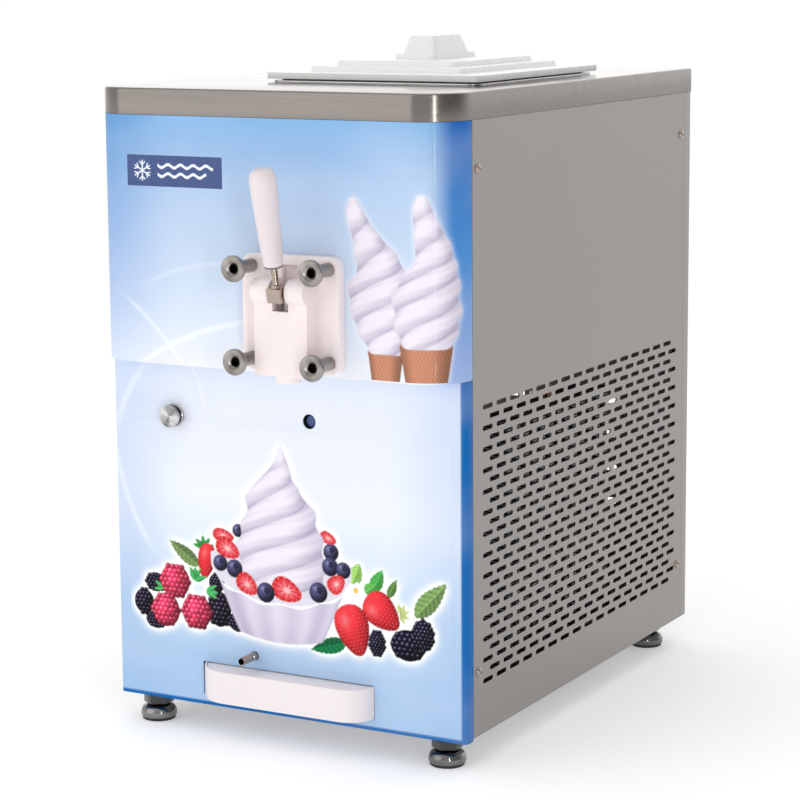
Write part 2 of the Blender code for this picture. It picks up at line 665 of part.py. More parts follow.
def build_drive():
    """Gearbox, motor, pulleys and belt behind the freezing cylinder."""
    floor = SHELF_Z + SHELF_THICK + GAP
    low, high = (AXIS_X - 0.055, y_at(0.322), floor), (AXIS_X + 0.055, y_at(0.415), 0.507)
    gearbox = box("gearbox", low, high, "grey_paint")
    axis = (AXIS_X, FRONT_Y, AXIS_Z)
    cut(gearbox, rod("gearbox_bore", axis, "Y", 0.0103, 0.300, 0.342))
    add(gearbox, rod("gearbox_shaft", axis, "Y", 0.008, 0.410, 0.449))

    motor_axis = (MOTOR_X, FRONT_Y, MOTOR_Z)
    profile = [(0, 0.235), (0.040, 0.235), (0.048, 0.245), (0.050, 0.260), (0.050, 0.380)]
    profile += [(0.046, 0.394), (0.020, 0.400), (0.020, 0.408), (0.007, 0.408), (0.007, 0.449), (0, 0.449)]
    motor = turned("drive_motor", profile, motor_axis, "Y", "grey_paint")
    low, high = (MOTOR_X - 0.045, y_at(0.270), floor), (MOTOR_X + 0.045, y_at(0.370), MOTOR_Z - 0.035)
    add(motor, box("motor_foot", low, high, None))

    for name, place, radius, bore in (
        ("gearbox_pulley", axis, 0.058, 0.0083), ("motor_pulley", motor_axis, 0.022, 0.0073),
    ):
        half = 0.009
        profile = [(bore, -half), (radius, -half), (radius, -0.006), (radius - 0.008, -0.0025)]
        profile += [(radius - 0.008, 0.0025), (radius, 0.006), (radius, half), (bore, half)]
        centre = (place[0], y_at(PULLEY_BACK), place[2])
        group(f"{name}_axis", centre, turned(name, profile, centre, "Y", "aluminium"))
    build_belt((AXIS_X, AXIS_Z), 0.058, (MOTOR_X, MOTOR_Z), 0.022)


def build_belt(big, big_radius, small, small_radius):
    """A belt round the two pulleys, riding in their grooves on the pitch line."""
    between = Vector((big[0] - small[0], big[1] - small[1]))
    heading = math.degrees(math.atan2(between.y, between.x))
    lean = math.degrees(math.asin((big_radius - small_radius) / between.length))

    def loop(extra):
        points = arc(big, big_radius + extra, heading - 90 - lean, heading + 90 + lean, 12)
        return points + arc(small, small_radius + extra, heading + 90 + lean, heading + 270 - lean, 8)

    front, back = y_at(PULLEY_BACK - 0.004), y_at(PULLEY_BACK + 0.004)
    belt = smooth(prism("drive_belt", loop(0.001), "Y", front, back, "black_rubber"))
    cut(belt, prism("belt_inside", loop(-0.003), "Y", front - 0.01, back + 0.01, None))


def build_cooling():
    """Compressor, condenser, fan and refrigerant pipes in the lower bay."""
    can = [(0, 0.047), (0.060, 0.047), (0.076, 0.060), (0.080, 0.080), (0.080, 0.170), (0.074, 0.195)]
    can += [(0.050, 0.212), (0.010, 0.218), (0, 0.218)]
    compressor = turned("compressor", can, (COMPRESSOR_X, y_at(COMPRESSOR_BACK), 0), "Z", "black_paint")
    plate = box(
        "compressor_plate", (COMPRESSOR_X - 0.070, y_at(COMPRESSOR_BACK - 0.055), PAN_TOP + GAP),
        (COMPRESSOR_X + 0.070, y_at(COMPRESSOR_BACK + 0.055), 0.060), None,
    )
    add(compressor, plate)

    fins = 13
    near, far = FAN_BACK - 0.125, FAN_BACK + 0.125
    pitch = (far - near) / (fins - 0.5)
    outline = []
    for i in range(fins):
        start = near + i * pitch
        outline += [(0.130, y_at(start)), (0.130, y_at(start + pitch / 2))]
        if i < fins - 1:
            outline += [(0.143, y_at(start + pitch / 2)), (0.143, y_at(start + pitch))]
    mirrored = [(0.295 - x, y) for x, y in reversed(outline)]
    prism("condenser", outline + mirrored, "Z", 0.060, 0.320, "aluminium")

    low, high = (0.118, y_at(near), PAN_TOP + GAP), (0.130 - GAP, y_at(far), 0.320)
    shroud = box("fan_shroud", low, high, "black_paint")
    fan_axis = (0, y_at(FAN_BACK), FAN_Z)
    cut(shroud, rod("shroud_mouth", fan_axis, "X", 0.108, 0.10, 0.14, None, 32))

    blade = rod("fan_blade", (0.098, y_at(FAN_BACK), FAN_Z), "X", 0.022, 0.000, 0.014, "aluminium")
    for n in range(5):
        add(blade, fan_vane(f"fan_vane_{n}", Vector((0.105, y_at(FAN_BACK), FAN_Z)), 2 * math.pi * n / 5))
    cut(blade, rod("fan_bore", fan_axis, "X", 0.0043, 0.09, 0.12, None, 12))
    group("fan_axis", (0.105, y_at(FAN_BACK), FAN_Z), blade)

    profile = [(0, 0.030), (0.030, 0.030), (0.034, 0.036), (0.034, 0.078), (0.026, 0.086)]
    profile += [(0.004, 0.086), (0.004, 0.110), (0, 0.110)]
    motor = turned("fan_motor", profile, fan_axis, "X", "black_paint")
    low, high = (0.045, y_at(FAN_BACK - 0.02), PAN_TOP + GAP), (0.065, y_at(FAN_BACK + 0.02), FAN_Z - 0.02)
    add(motor, box("fan_stand", low, high, None))

    drier = [(0, 0.060), (0.004, 0.060), (0.014, 0.072), (0.014, 0.148), (0.004, 0.160), (0, 0.160)]
    turned("filter_drier", drier, (0.100, y_at(0.490), 0), "Z", "copper", 16)
    pipe(
        "discharge_pipe",
        [(-0.070, 0.415, 0.2155), (-0.070, 0.415, 0.250), (-0.040, 0.405, 0.300), (0.050, 0.385, 0.340),
         (0.120, 0.350, 0.350), (0.1475, 0.336, 0.338), (0.1475, 0.336, 0.3210)],
        0.004, "copper",
    )
    pipe(
        "suction_pipe",
        [(-0.115, 0.465, 0.2162), (-0.115, 0.465, 0.250), (-0.080, 0.455, 0.310), (0.000, 0.400, 0.335),
         (0.070, 0.325, 0.340), (0.090, 0.3115, 0.355), (0.090, 0.3115, 0.395), (0.090, 0.3115, 0.430)],
        0.005, "copper",
    )


def fan_vane(name, centre, angle):
    """One pitched vane, from the fan's hub outwards."""
    bm = bmesh.new()
    bmesh.ops.create_cube(bm, size=1)
    bmesh.ops.scale(bm, vec=(0.002, 0.050, 0.082), verts=bm.verts)
    bmesh.ops.rotate(bm, verts=bm.verts, matrix=Matrix.Rotation(math.radians(18), 3, "Z"))
    bmesh.ops.translate(bm, verts=bm.verts, vec=(0, 0, 0.059))
    bmesh.ops.rotate(bm, verts=bm.verts, matrix=Matrix.Rotation(angle, 3, "X"))
    bmesh.ops.translate(bm, verts=bm.verts, vec=centre)
    return new_object(name, bm, None)


def build_electrics():
    """Control box behind the lower panel, and the power inlet at the rear."""
    box("control_box", (-0.165, y_at(0.0593), 0.250), (0.075, y_at(0.150), 0.356), "grey_plastic")
    low, high = (-0.1345, y_at(0.565), 0.069), (-0.1055, y_at(DEPTH + 0.002), 0.091)
    inlet = box("power_inlet", low, high, "black_plastic")
    low, high = (-0.145, y_at(DEPTH + GAP), 0.066), (-0.095, y_at(DEPTH + 0.0025), 0.094)
    flange = box("inlet_flange", low, high, None)
    socket = box("inlet_socket", (-0.132, y_at(0.578), 0.072), (-0.108, y_at(DEPTH + 0.01), 0.088), None)
    add(inlet, flange)
    cut(inlet, socket)


def main():
    """Clears the scene and builds every group of pieces."""
    for thing in list(bpy.data.objects):
        bpy.data.objects.remove(thing)
    build_casing()
    build_frame()
    build_hopper()
    build_barrel()
    build_door()
    build_lower_front()
    build_drive()
    build_cooling()
    build_electrics()


main()
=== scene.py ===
"""Countertop soft-serve ice cream maker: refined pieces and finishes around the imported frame."""

import logging
import math
from dataclasses import dataclass
from enum import Enum
from typing import Callable, Sequence

import bmesh
import bpy
import numpy as np
from mathutils import Euler, Matrix, Vector


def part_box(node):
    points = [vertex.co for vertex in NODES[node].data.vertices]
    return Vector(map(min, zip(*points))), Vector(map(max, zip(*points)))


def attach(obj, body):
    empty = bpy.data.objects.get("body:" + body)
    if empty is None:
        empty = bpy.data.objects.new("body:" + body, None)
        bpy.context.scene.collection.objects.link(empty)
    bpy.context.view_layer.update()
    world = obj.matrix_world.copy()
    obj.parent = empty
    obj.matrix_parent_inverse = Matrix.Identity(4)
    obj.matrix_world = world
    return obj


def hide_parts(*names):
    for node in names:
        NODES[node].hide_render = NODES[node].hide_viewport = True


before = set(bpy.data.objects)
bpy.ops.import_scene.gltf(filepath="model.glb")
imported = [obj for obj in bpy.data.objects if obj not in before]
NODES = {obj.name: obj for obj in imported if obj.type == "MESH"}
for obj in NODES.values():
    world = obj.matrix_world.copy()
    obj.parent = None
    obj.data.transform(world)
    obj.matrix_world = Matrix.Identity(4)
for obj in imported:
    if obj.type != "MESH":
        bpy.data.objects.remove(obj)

LOG = logging.getLogger("ice_cream_maker")

Colour = tuple[float, float, float]
Point = tuple[float, float, float]


class Axis(Enum):
    """A direction of the frame."""

    X = 0
    Y = 1
    Z = 2


class Zone(Enum):
    """The printed sheets of the front."""

    BONNET = "bonnet"
    LOWER = "lower"


# Sizes and places that several assemblies share, in metres. FRONT is the cap's front, and a place that is
# called "back" is measured from it.
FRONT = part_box("top_cap")[0].y
CAP_LOW, CAP_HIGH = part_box("top_cap")
HALF_WIDTH = CAP_HIGH.x
CORNER = 0.045
SHEET = 0.0015
DOOR_X = 0.038
AXIS_Z = 0.452
HOPPER_BACK = 0.291
FEED_BACK = 0.250

# Places on the front, across and up, and the feet's places, across and back.
BUTTON = (-0.131, 0.3314)
RESET = (0.0295, 0.3374)
DRAIN = (-0.0385, 0.089)
FOOT_SPOTS = {
    "front_left": (-0.172, 0.055), "front_right": (0.172, 0.055),
    "rear_left": (-0.172, 0.555), "rear_right": (0.172, 0.555),
}


def srgb(red: float, green: float, blue: float) -> Colour:
    """Turns a display colour of 0 to 255 into linear light.

    Args:
        red: Red part.
        green: Green part.
        blue: Blue part.

    Returns:
        The three linear values.
    """
    parts = [part / 255 for part in (red, green, blue)]
    return tuple(part / 12.92 if part <= 0.04045 else ((part + 0.055) / 1.055) ** 2.4 for part in parts)


def circle_through(
    first: tuple[float, float], second: tuple[float, float], third: tuple[float, float]
) -> tuple[float, float, float]:
    """Finds the circle through three points.

    Args:
        first: One point, across and up.
        second: Another point.
        third: The last point.

    Returns:
        The middle across, the middle up and the radius.
    """
    rows = np.array(
        [[2 * (second[i] - first[i]) for i in (0, 1)], [2 * (third[i] - first[i]) for i in (0, 1)]]
    )
    lengths = [point[0] ** 2 + point[1] ** 2 for point in (first, second, third)]
    across, up = np.linalg.solve(rows, [lengths[1] - lengths[0], lengths[2] - lengths[0]])
    return float(across), float(up), math.dist((across, up), first)


# ---------------------------------------------------------------- bench


def deselect() -> None:
    """Leaves nothing selected, in object mode."""
    if bpy.context.object and bpy.context.object.mode != "OBJECT":
        bpy.ops.object.mode_set(mode="OBJECT")
    bpy.ops.object.select_all(action="DESELECT")


def activate(piece: bpy.types.Object) -> None:
    """Selects one piece alone."""
    deselect()
    piece.select_set(True)
    bpy.context.view_layer.objects.active = piece


class Edit:
    """Edit mode on one piece, with its faces or edges selected by their place."""

    def __init__(self, piece: bpy.types.Object) -> None:
        """Takes the piece to edit."""
        self.piece = piece

    def __enter__(self) -> "Edit":
        """Goes into edit mode with all selected."""
        activate(self.piece)
        bpy.ops.object.mode_set(mode="EDIT")
        bpy.ops.mesh.select_all(action="SELECT")
        return self

    def __exit__(self, *_: object) -> None:
        """Goes back to object mode."""
        bpy.ops.object.mode_set(mode="OBJECT")

    def _pick(self, kind: str, mode: str, test: Callable[[object], bool]) -> None:
        """Selects the elements of one kind that pass a test."""
        bpy.ops.mesh.select_mode(type=mode)
        bpy.ops.mesh.select_all(action="DESELECT")
        mesh = bmesh.from_edit_mesh(self.piece.data)
        for element in getattr(mesh, kind):
            element.select_set(bool(test(element)))
        mesh.select_flush_mode()
        bmesh.update_edit_mesh(self.piece.data)

    def faces(self, test: Callable[[bmesh.types.BMFace], bool]) -> None:
        """Selects the faces that pass a test."""
        self._pick("faces", "FACE", test)

    def edges(self, test: Callable[[Vector, Vector], bool]) -> None:
        """Selects the edges whose two ends pass a test."""
        self._pick("edges", "EDGE", lambda edge: test(edge.verts[0].co, edge.verts[1].co))

    def points(self, test: Callable[[Vector], bool]) -> None:
        """Selects the points that pass a test."""
        self._pick("verts", "VERT", lambda vert: test(vert.co))

    def bevel(self, width: float, segments: int) -> None:
        """Rounds the selected edges."""
        bpy.ops.mesh.bevel(offset=width, segments=segments, affect="EDGES", clamp_overlap=False)

    def inset(self, width: float) -> None:
        """Insets the selected faces."""
        bpy.ops.mesh.inset(thickness=width, depth=0)

    def extrude(self, move: Point) -> None:
        """Draws the selection out by a distance."""
        bpy.ops.mesh.extrude_region_move(TRANSFORM_OT_translate={"value": move})

    def tidy(self, within: float = 1e-6) -> None:
        """Merges doubles and turns every face outwards."""
        bpy.ops.mesh.select_mode(type="VERT")
        bpy.ops.mesh.select_all(action="SELECT")
        bpy.ops.mesh.remove_doubles(threshold=within)
        bpy.ops.mesh.normals_make_consistent(inside=False)


def named(name: str) -> bpy.types.Object:
    """Names the primitive that was just added and settles it at the origin.

    Args:
        name: The piece's name.

    Returns:
        The piece.
    """
    piece = bpy.context.object
    piece.name = name
    settle(piece)
    return piece


def settle(piece: bpy.types.Object) -> None:
    """Moves a piece's place into its mesh."""
    activate(piece)
    bpy.ops.object.transform_apply(location=True, rotation=True, scale=True)


def block(name: str, low: Sequence[float], high: Sequence[float]) -> bpy.types.Object:
    """Adds a box between two corners.

    Args:
        name: The piece's name.
        low: Lowest corner.
        high: Highest corner.

    Returns:
        The box.
    """
    deselect()
    low, high = Vector(low), Vector(high)
    bpy.ops.mesh.primitive_cube_add(size=1, location=(low + high) / 2, scale=high - low)
    return named(name)


def rod(
    name: str, centre: Sequence[float], radius: float, length: float, axis: Axis, sides: int = 32
) -> bpy.types.Object:
    """Adds a round bar.

    Args:
        name: The piece's name.
        centre: Middle of the bar.
        radius: Its radius.
        length: Its length.
        axis: The way it runs.
        sides: Sides round it.

    Returns:
        The bar.
    """
    deselect()
    turn = {Axis.X: (0, math.pi / 2, 0), Axis.Y: (math.pi / 2, 0, 0), Axis.Z: (0, 0, 0)}[axis]
    bpy.ops.mesh.primitive_cylinder_add(
        vertices=sides, radius=radius, depth=length, location=centre, rotation=turn
    )
    return named(name)


def turned(
    name: str, profile: Sequence[tuple[float, float]], place: Sequence[float], turn: Point = (0, 0, 0),
    sides: int = 48
) -> bpy.types.Object:
    """Turns a piece from rings drawn out one after another.

    Args:
        name: The piece's name.
        profile: Pairs of radius and distance along the axis. A first and last radius of nought make it solid,
            and otherwise the last ring is joined to the first.
        place: Where the axis starts.
        turn: How the axis is turned from upright.
        sides: Sides round the piece.

    Returns:
        The piece.
    """
    deselect()
    solid = profile[0][0] == 0
    rings = [ring for ring in profile if ring[0] > 0]
    radius, along = rings[0]
    bpy.ops.mesh.primitive_circle_add(
        vertices=sides, radius=radius, location=(0, 0, along), fill_type="NGON" if solid else "NOTHING"
    )
    piece = named(name)
    with Edit(piece) as work:
        for wide, far in rings[1:]:
            work.extrude((0, 0, far - along))
            scale = wide / radius
            bpy.ops.transform.resize(value=(scale, scale, 1), center_override=(0, 0, far))
            radius, along = wide, far
        if not solid:
            bpy.ops.mesh.select_mode(type="EDGE")
            bpy.ops.mesh.select_all(action="DESELECT")
            bpy.ops.mesh.select_non_manifold(extend=False)
            bpy.ops.mesh.bridge_edge_loops()
        work.tidy()
    piece.location = place
    piece.rotation_euler = turn
    settle(piece)
    return piece


ALONG_Y = (-math.pi / 2, 0, 0)
ALONG_X = (0, math.pi / 2, 0)


def modify(piece: bpy.types.Object, kind: str, **settings: object) -> None:
    """Adds one modifier and applies it.

    Args:
        piece: The piece.
        kind: The modifier's type.
        **settings: Its values.
    """
    activate(piece)
    modifier = piece.modifiers.new(kind.lower(), kind)
    for key, value in settings.items():
        setattr(modifier, key, value)
    bpy.ops.object.modifier_apply(modifier=modifier.name)


def subtract(piece: bpy.types.Object, cutter: bpy.types.Object, solver: str = "EXACT") -> None:
    """Cuts one shape out of a piece and throws the cutter away."""
    modify(piece, "BOOLEAN", operation="DIFFERENCE", object=cutter, solver=solver)
    bpy.data.objects.remove(cutter, do_unlink=True)


def unite(piece: bpy.types.Object, other: bpy.types.Object) -> None:
    """Welds another shape onto a piece."""
    modify(piece, "BOOLEAN", operation="UNION", object=other, solver="EXACT")
    bpy.data.objects.remove(other, do_unlink=True)


def soften(piece: bpy.types.Object, width: float, segments: int = 2, angle: float = 32.0) -> None:
    """Rounds every sharp edge and smooths the faces.

    Args:
        piece: The piece.
        width: Radius of the rounding, or nought to leave the edges.
        segments: Steps across it.
        angle: Sharpest bend that stays smooth, in degrees.
    """
    if width:
        modify(
            piece, "BEVEL", width=width, segments=segments, limit_method="ANGLE",
            angle_limit=math.radians(angle), miter_outer="MITER_ARC", harden_normals=False,
        )
    activate(piece)
    bpy.ops.object.shade_smooth_by_angle(angle=math.radians(angle))


def upright_edge(a: Vector, b: Vector) -> bool:
    """True for an edge that runs straight up."""
    return abs(a.x - b.x) < 1e-6 and abs(a.y - b.y) < 1e-6


def round_block(
    name: str, low: Sequence[float], high: Sequence[float], corner: float, segments: int = 8
) -> bpy.types.Object:
    """Adds a box with its four upright edges rounded.

    Args:
        name: The piece's name.
        low: Lowest corner.
        high: Highest corner.
        corner: Radius of the upright edges.
        segments: Steps round each.

    Returns:
        The box.
    """
    piece = block(name, low, high)
    with Edit(piece) as work:
        work.edges(upright_edge)
        work.bevel(corner, segments)
    return piece


def refined(node: str, name: str, width: float, segments: int = 2, angle: float = 32.0) -> bpy.types.Object:
    """Copies a frame node, merges its faces and rounds its edges.

    Args:
        node: The node's name.
        name: The new piece's name.
        width: Radius of the rounding.
        segments: Steps across it.
        angle: Sharpest bend that stays smooth, in degrees.

    Returns:
        The new piece.
    """
    piece = bpy.data.objects.new(name, NODES[node].data.copy())
    bpy.context.scene.collection.objects.link(piece)
    activate(piece)
    bpy.ops.mesh.customdata_custom_splitnormals_clear()
    with Edit(piece) as work:
        work.tidy(1e-5)
        bpy.ops.mesh.dissolve_limited(angle_limit=math.radians(1.5))
    soften(piece, width, segments, angle)
    return piece


def copied(piece: bpy.types.Object, name: str, move: Sequence[float]) -> bpy.types.Object:
    """Copies a piece with its own mesh and moves the copy.

    Args:
        piece: The piece to copy.
        name: The copy's name.
        move: How far it moves.

    Returns:
        The copy.
    """
    other = bpy.data.objects.new(name, piece.data.copy())
    bpy.context.scene.collection.objects.link(other)
    other.location = move
    settle(other)
    return other


def repeated(piece: bpy.types.Object, count: int, move: Point) -> None:
    """Repeats a piece in a row, each one moved on from the last."""
    modify(
        piece, "ARRAY", count=count, constant_offset_displace=move,
        use_relative_offset=False, use_constant_offset=True,
    )


def round_slot(name: str, middle: Point, length: float, height: float) -> bpy.types.Object:
    """Makes a cutter for a round-ended slot through a sheet that faces back.

    Args:
        name: The cutter's name.
        middle: Its middle.
        length: Its length across.
        height: Its height.

    Returns:
        The cutter.
    """
    deselect()
    bpy.ops.mesh.primitive_cylinder_add(
        vertices=16, radius=height / 2, depth=0.012, location=middle,
        rotation=(math.pi / 2, math.radians(11.25), 0)
    )
    cutter = named(name)
    with Edit(cutter) as work:
        for side in (-1, 1):
            work.points(lambda co, side=side: (co.x - middle[0]) * side > 0)
            bpy.ops.transform.translate(value=(side * (length - height) / 2, 0, 0))
    return cutter


# ---------------------------------------------------------------- finishes


class Recipe:
    """A material's nodes, written one at a time."""

    def __init__(self, name: str) -> None:
        """Starts a material with its shader."""
        self.material = bpy.data.materials.new(name)
        self.material.use_nodes = True
        self.tree = self.material.node_tree
        self.shader = self.tree.nodes["Principled BSDF"]
        self.place = self.node("TexCoord").outputs["Object"]

    def feed(self, socket: bpy.types.NodeSocket, value: object) -> None:
        """Links a socket to a socket, or gives it a value."""
        if isinstance(value, bpy.types.NodeSocket):
            self.tree.links.new(value, socket)
        elif isinstance(value, tuple) and len(value) == 3 and socket.type == "RGBA":
            socket.default_value = (*value, 1)
        else:
            socket.default_value = value

    def node(self, kind: str, inputs: dict | None = None, **settings: object) -> bpy.types.Node:
        """Adds a node.

        Args:
            kind: The node's type, without its prefix.
            inputs: What each socket is given.
            **settings: The node's own choices.

        Returns:
            The node.
        """
        made = self.tree.nodes.new("ShaderNode" + kind)
        for key, value in settings.items():
            setattr(made, key, value)
        for key, value in (inputs or {}).items():
            self.feed(made.inputs[key], value)
        return made

    def set(self, **values: object) -> None:
        """Gives the shader's sockets their values, with _ for a space in a name."""
        for key, value in values.items():
            self.feed(self.shader.inputs[key.replace("_", " ")], value)

    def sums(
        self, how: str, first: object, second: object = 0.0, third: object = 0.0
    ) -> bpy.types.NodeSocket:
        """Does one sum on up to three values."""
        return self.node("Math", {0: first, 1: second, 2: third}, operation=how).outputs[0]

    def stretched(
        self, scale: Point, turn: Point = (0, 0, 0), move: Point = (0, 0, 0)
    ) -> bpy.types.NodeSocket:
        """Stretches the object's own coordinates."""
        inputs = {"Vector": self.place, "Scale": scale, "Rotation": turn, "Location": move}
        return self.node("Mapping", inputs).outputs[0]

    def noise(self, scale: Point, detail: float = 2.0, rough: float = 0.5) -> bpy.types.NodeSocket:
        """Makes noise that is finer along some directions than others."""
        inputs = {"Vector": self.stretched(scale), "Scale": 1.0, "Detail": detail, "Roughness": rough}
        return self.node("TexNoise", inputs).outputs["Fac"]

    def span(
        self, value: object, start: float, end: float, low: float = 0.0, high: float = 1.0, soft: bool = False
    ) -> bpy.types.NodeSocket:
        """Maps a value from one range onto another and holds it there."""
        inputs = {"Value": value, "From Min": start, "From Max": end, "To Min": low, "To Max": high}
        kind = "SMOOTHSTEP" if soft else "LINEAR"
        return self.node("MapRange", inputs, interpolation_type=kind).outputs[0]

    def ramp(self, value: object, stops: Sequence[tuple[float, Colour]]) -> bpy.types.NodeSocket:
        """Runs a value through a row of colours."""
        made = self.node("ValToRGB", {0: value})
        band = made.color_ramp
        while len(band.elements) < len(stops):
            band.elements.new(1.0)
        for element, (at, colour) in zip(band.elements, stops):
            element.position = at
            element.color = (*colour, 1)
        return made.outputs[0]

    def mix(self, amount: object, first: object, second: object, how: str = "MIX") -> bpy.types.NodeSocket:
        """Mixes two colours."""
        return self.node("Mix", {0: amount, 6: first, 7: second}, data_type="RGBA", blend_type=how).outputs[2]

    def bump(
        self, height: object, distance: float, strength: float = 1.0, over: object = None
    ) -> bpy.types.NodeSocket:
        """Raises the surface by a height."""
        inputs = {"Height": height, "Distance": distance, "Strength": strength}
        if over is not None:
            inputs["Normal"] = over
        return self.node("Bump", inputs).outputs[0]

    def parts(self) -> tuple[bpy.types.NodeSocket, ...]:
        """Splits the object's own coordinates into X, Y and Z."""
        return tuple(self.node("SeparateXYZ", {0: self.place}).outputs)


@dataclass(frozen=True)
class BrushedSteel:
    """Stainless sheet with a straight grain."""

    name: str
    grain: Axis
    shade: Colour = (0.315, 0.294, 0.281)
    rough: float = 0.36
    contrast: float = 0.06

    def make(self) -> bpy.types.Material:
        """Makes the material."""
        recipe = Recipe(self.name)
        fine = [1100.0] * 3
        coarse = [90.0] * 3
        fine[self.grain.value] = 14.0
        coarse[self.grain.value] = 2.2
        lines = recipe.noise(tuple(fine), 3.0, 0.65)
        bands = recipe.noise(tuple(coarse), 3.0, 0.6)
        clouds = recipe.noise((3.0, 3.0, 3.0), 2.0)
        mixed = recipe.sums("MULTIPLY_ADD", lines, 0.55, recipe.sums("MULTIPLY", bands, 0.45))
        low = tuple(part * (1 - self.contrast) for part in self.shade)
        high = tuple(part * (1 + self.contrast) for part in self.shade)
        tone = recipe.mix(recipe.span(mixed, 0.3, 0.7), low, high)
        shaded = recipe.mix(
            recipe.span(clouds, 0.35, 0.65, 0.0, 0.22), tone, tuple(part * 0.86 for part in self.shade)
        )
        recipe.set(
            Base_Color=shaded, Metallic=1.0,
            Roughness=recipe.span(mixed, 0.3, 0.7, self.rough - 0.05, self.rough + 0.07),
            Normal=recipe.bump(lines, 0.00004, 0.5),
        )
        return recipe.material


@dataclass(frozen=True)
class TurnedSteel:
    """Bright steel with the rings that a lathe leaves, round an axis through a point, and with painted
    reflection fans by angle round the axis when fan is set.
    """

    name: str
    axis: Axis
    middle: Point
    shade: Colour = (0.40, 0.37, 0.345)
    rough: float = 0.24
    fan: float = 0.0

    def make(self) -> bpy.types.Material:
        """Makes the material."""
        recipe = Recipe(self.name)
        move = tuple(-part for part in self.middle)
        offset = recipe.stretched((1, 1, 1), move=move)
        keep = [1.0, 1.0, 1.0]
        keep[self.axis.value] = 0.0
        flat = recipe.node("VectorMath", {0: offset, 1: tuple(keep)}, operation="MULTIPLY").outputs[0]
        radius = recipe.node("VectorMath", {0: flat}, operation="LENGTH").outputs["Value"]
        along = recipe.node("SeparateXYZ", {0: offset}).outputs[self.axis.value]
        seed = recipe.node(
            "CombineXYZ",
            {0: recipe.sums("MULTIPLY", radius, 2600.0), 1: recipe.sums("MULTIPLY", along, 2600.0)}
        )
        rings = recipe.node(
            "TexNoise", {"Vector": seed.outputs[0], "Scale": 1.0, "Detail": 2.0}
        ).outputs["Fac"]
        tone = recipe.mix(recipe.span(rings, 0.3, 0.7), tuple(part * 0.86 for part in self.shade), self.shade)
        # Painted reflection: the tone darkens in fans by angle round the axis, standing in for the sheen of a
        # turned face.
        if self.fan:
            split = recipe.node("SeparateXYZ", {0: flat}).outputs
            across, up = (split[i] for i in range(3) if i != self.axis.value)
            turn = recipe.sums("ARCTAN2", up, across)
            wave = recipe.sums("COSINE", recipe.sums("MULTIPLY_ADD", turn, 2.0, 0.9))
            painted_sheen_fans = recipe.span(
                recipe.sums(
                    "MULTIPLY_ADD", recipe.sums("COSINE", recipe.sums("MULTIPLY", turn, 5.0)), 0.35, wave
                ),
                -1.2, 1.2
            )
            tone = recipe.mix(recipe.span(painted_sheen_fans, 0.0, 1.0, self.fan, 0.0), tone, (0.05, 0.045, 0.04))
        recipe.set(
            Base_Color=tone, Metallic=1.0,
            Roughness=recipe.span(rings, 0.3, 0.7, self.rough - 0.06, self.rough + 0.1),
            Normal=recipe.bump(rings, 0.00003, 0.5),
        )
        return recipe.material


@dataclass(frozen=True)
class Plain:
    """A plastic, paint, rubber or cast finish with a fine surface of its own."""

    name: str
    colour: Colour
    rough: float = 0.4
    metal: float = 0.0
    grain: float = 400.0
    depth: float = 0.00002
    variation: float = 0.06
    coat: float = 0.0
    milk: float = 0.0

    def make(self) -> bpy.types.Material:
        """Makes the material."""
        recipe = Recipe(self.name)
        fine = recipe.noise((self.grain,) * 3, 3.0, 0.6)
        broad = recipe.noise((14.0, 14.0, 14.0), 3.0, 0.55)
        darker = tuple(part * (1 - self.variation * 2) for part in self.colour)
        tone = recipe.mix(recipe.span(broad, 0.35, 0.65), darker, self.colour)
        recipe.set(
            Base_Color=tone, Metallic=self.metal, Coat_Weight=self.coat, Coat_Roughness=0.08,
            Roughness=recipe.span(fine, 0.3, 0.7, max(self.rough - 0.06, 0.03), self.rough + 0.08),
            Normal=recipe.bump(fine, self.depth, 0.6),
        )
        if self.milk:
            recipe.set(Subsurface_Weight=self.milk, Subsurface_Radius=(1.0, 0.8, 0.6), Subsurface_Scale=0.004)
        return recipe.material


@dataclass(frozen=True)
class Finned:
    """Thin metal fins side by side, with the gaps between them painted near black as shade."""

    name: str
    axis: Axis
    pitch: float
    colour: Colour = (0.55, 0.56, 0.57)

    def make(self) -> bpy.types.Material:
        """Makes the material."""
        recipe = Recipe(self.name)
        along = recipe.parts()[self.axis.value]
        wave = recipe.sums("PINGPONG", along, self.pitch / 2)
        crest = recipe.span(wave, self.pitch * 0.12, self.pitch * 0.3, soft=True)
        dents = recipe.noise((30.0, 30.0, 30.0), 3.0)
        metal = recipe.mix(
            recipe.span(dents, 0.4, 0.6), self.colour, tuple(part * 0.7 for part in self.colour)
        )
        # The gaps between the fins are painted near black: painted shade.
        recipe.set(
            Base_Color=recipe.mix(crest, (0.02, 0.02, 0.02), metal), Metallic=0.8, Roughness=0.4,
            Normal=recipe.bump(crest, self.pitch * 0.3),
        )
        return recipe.material


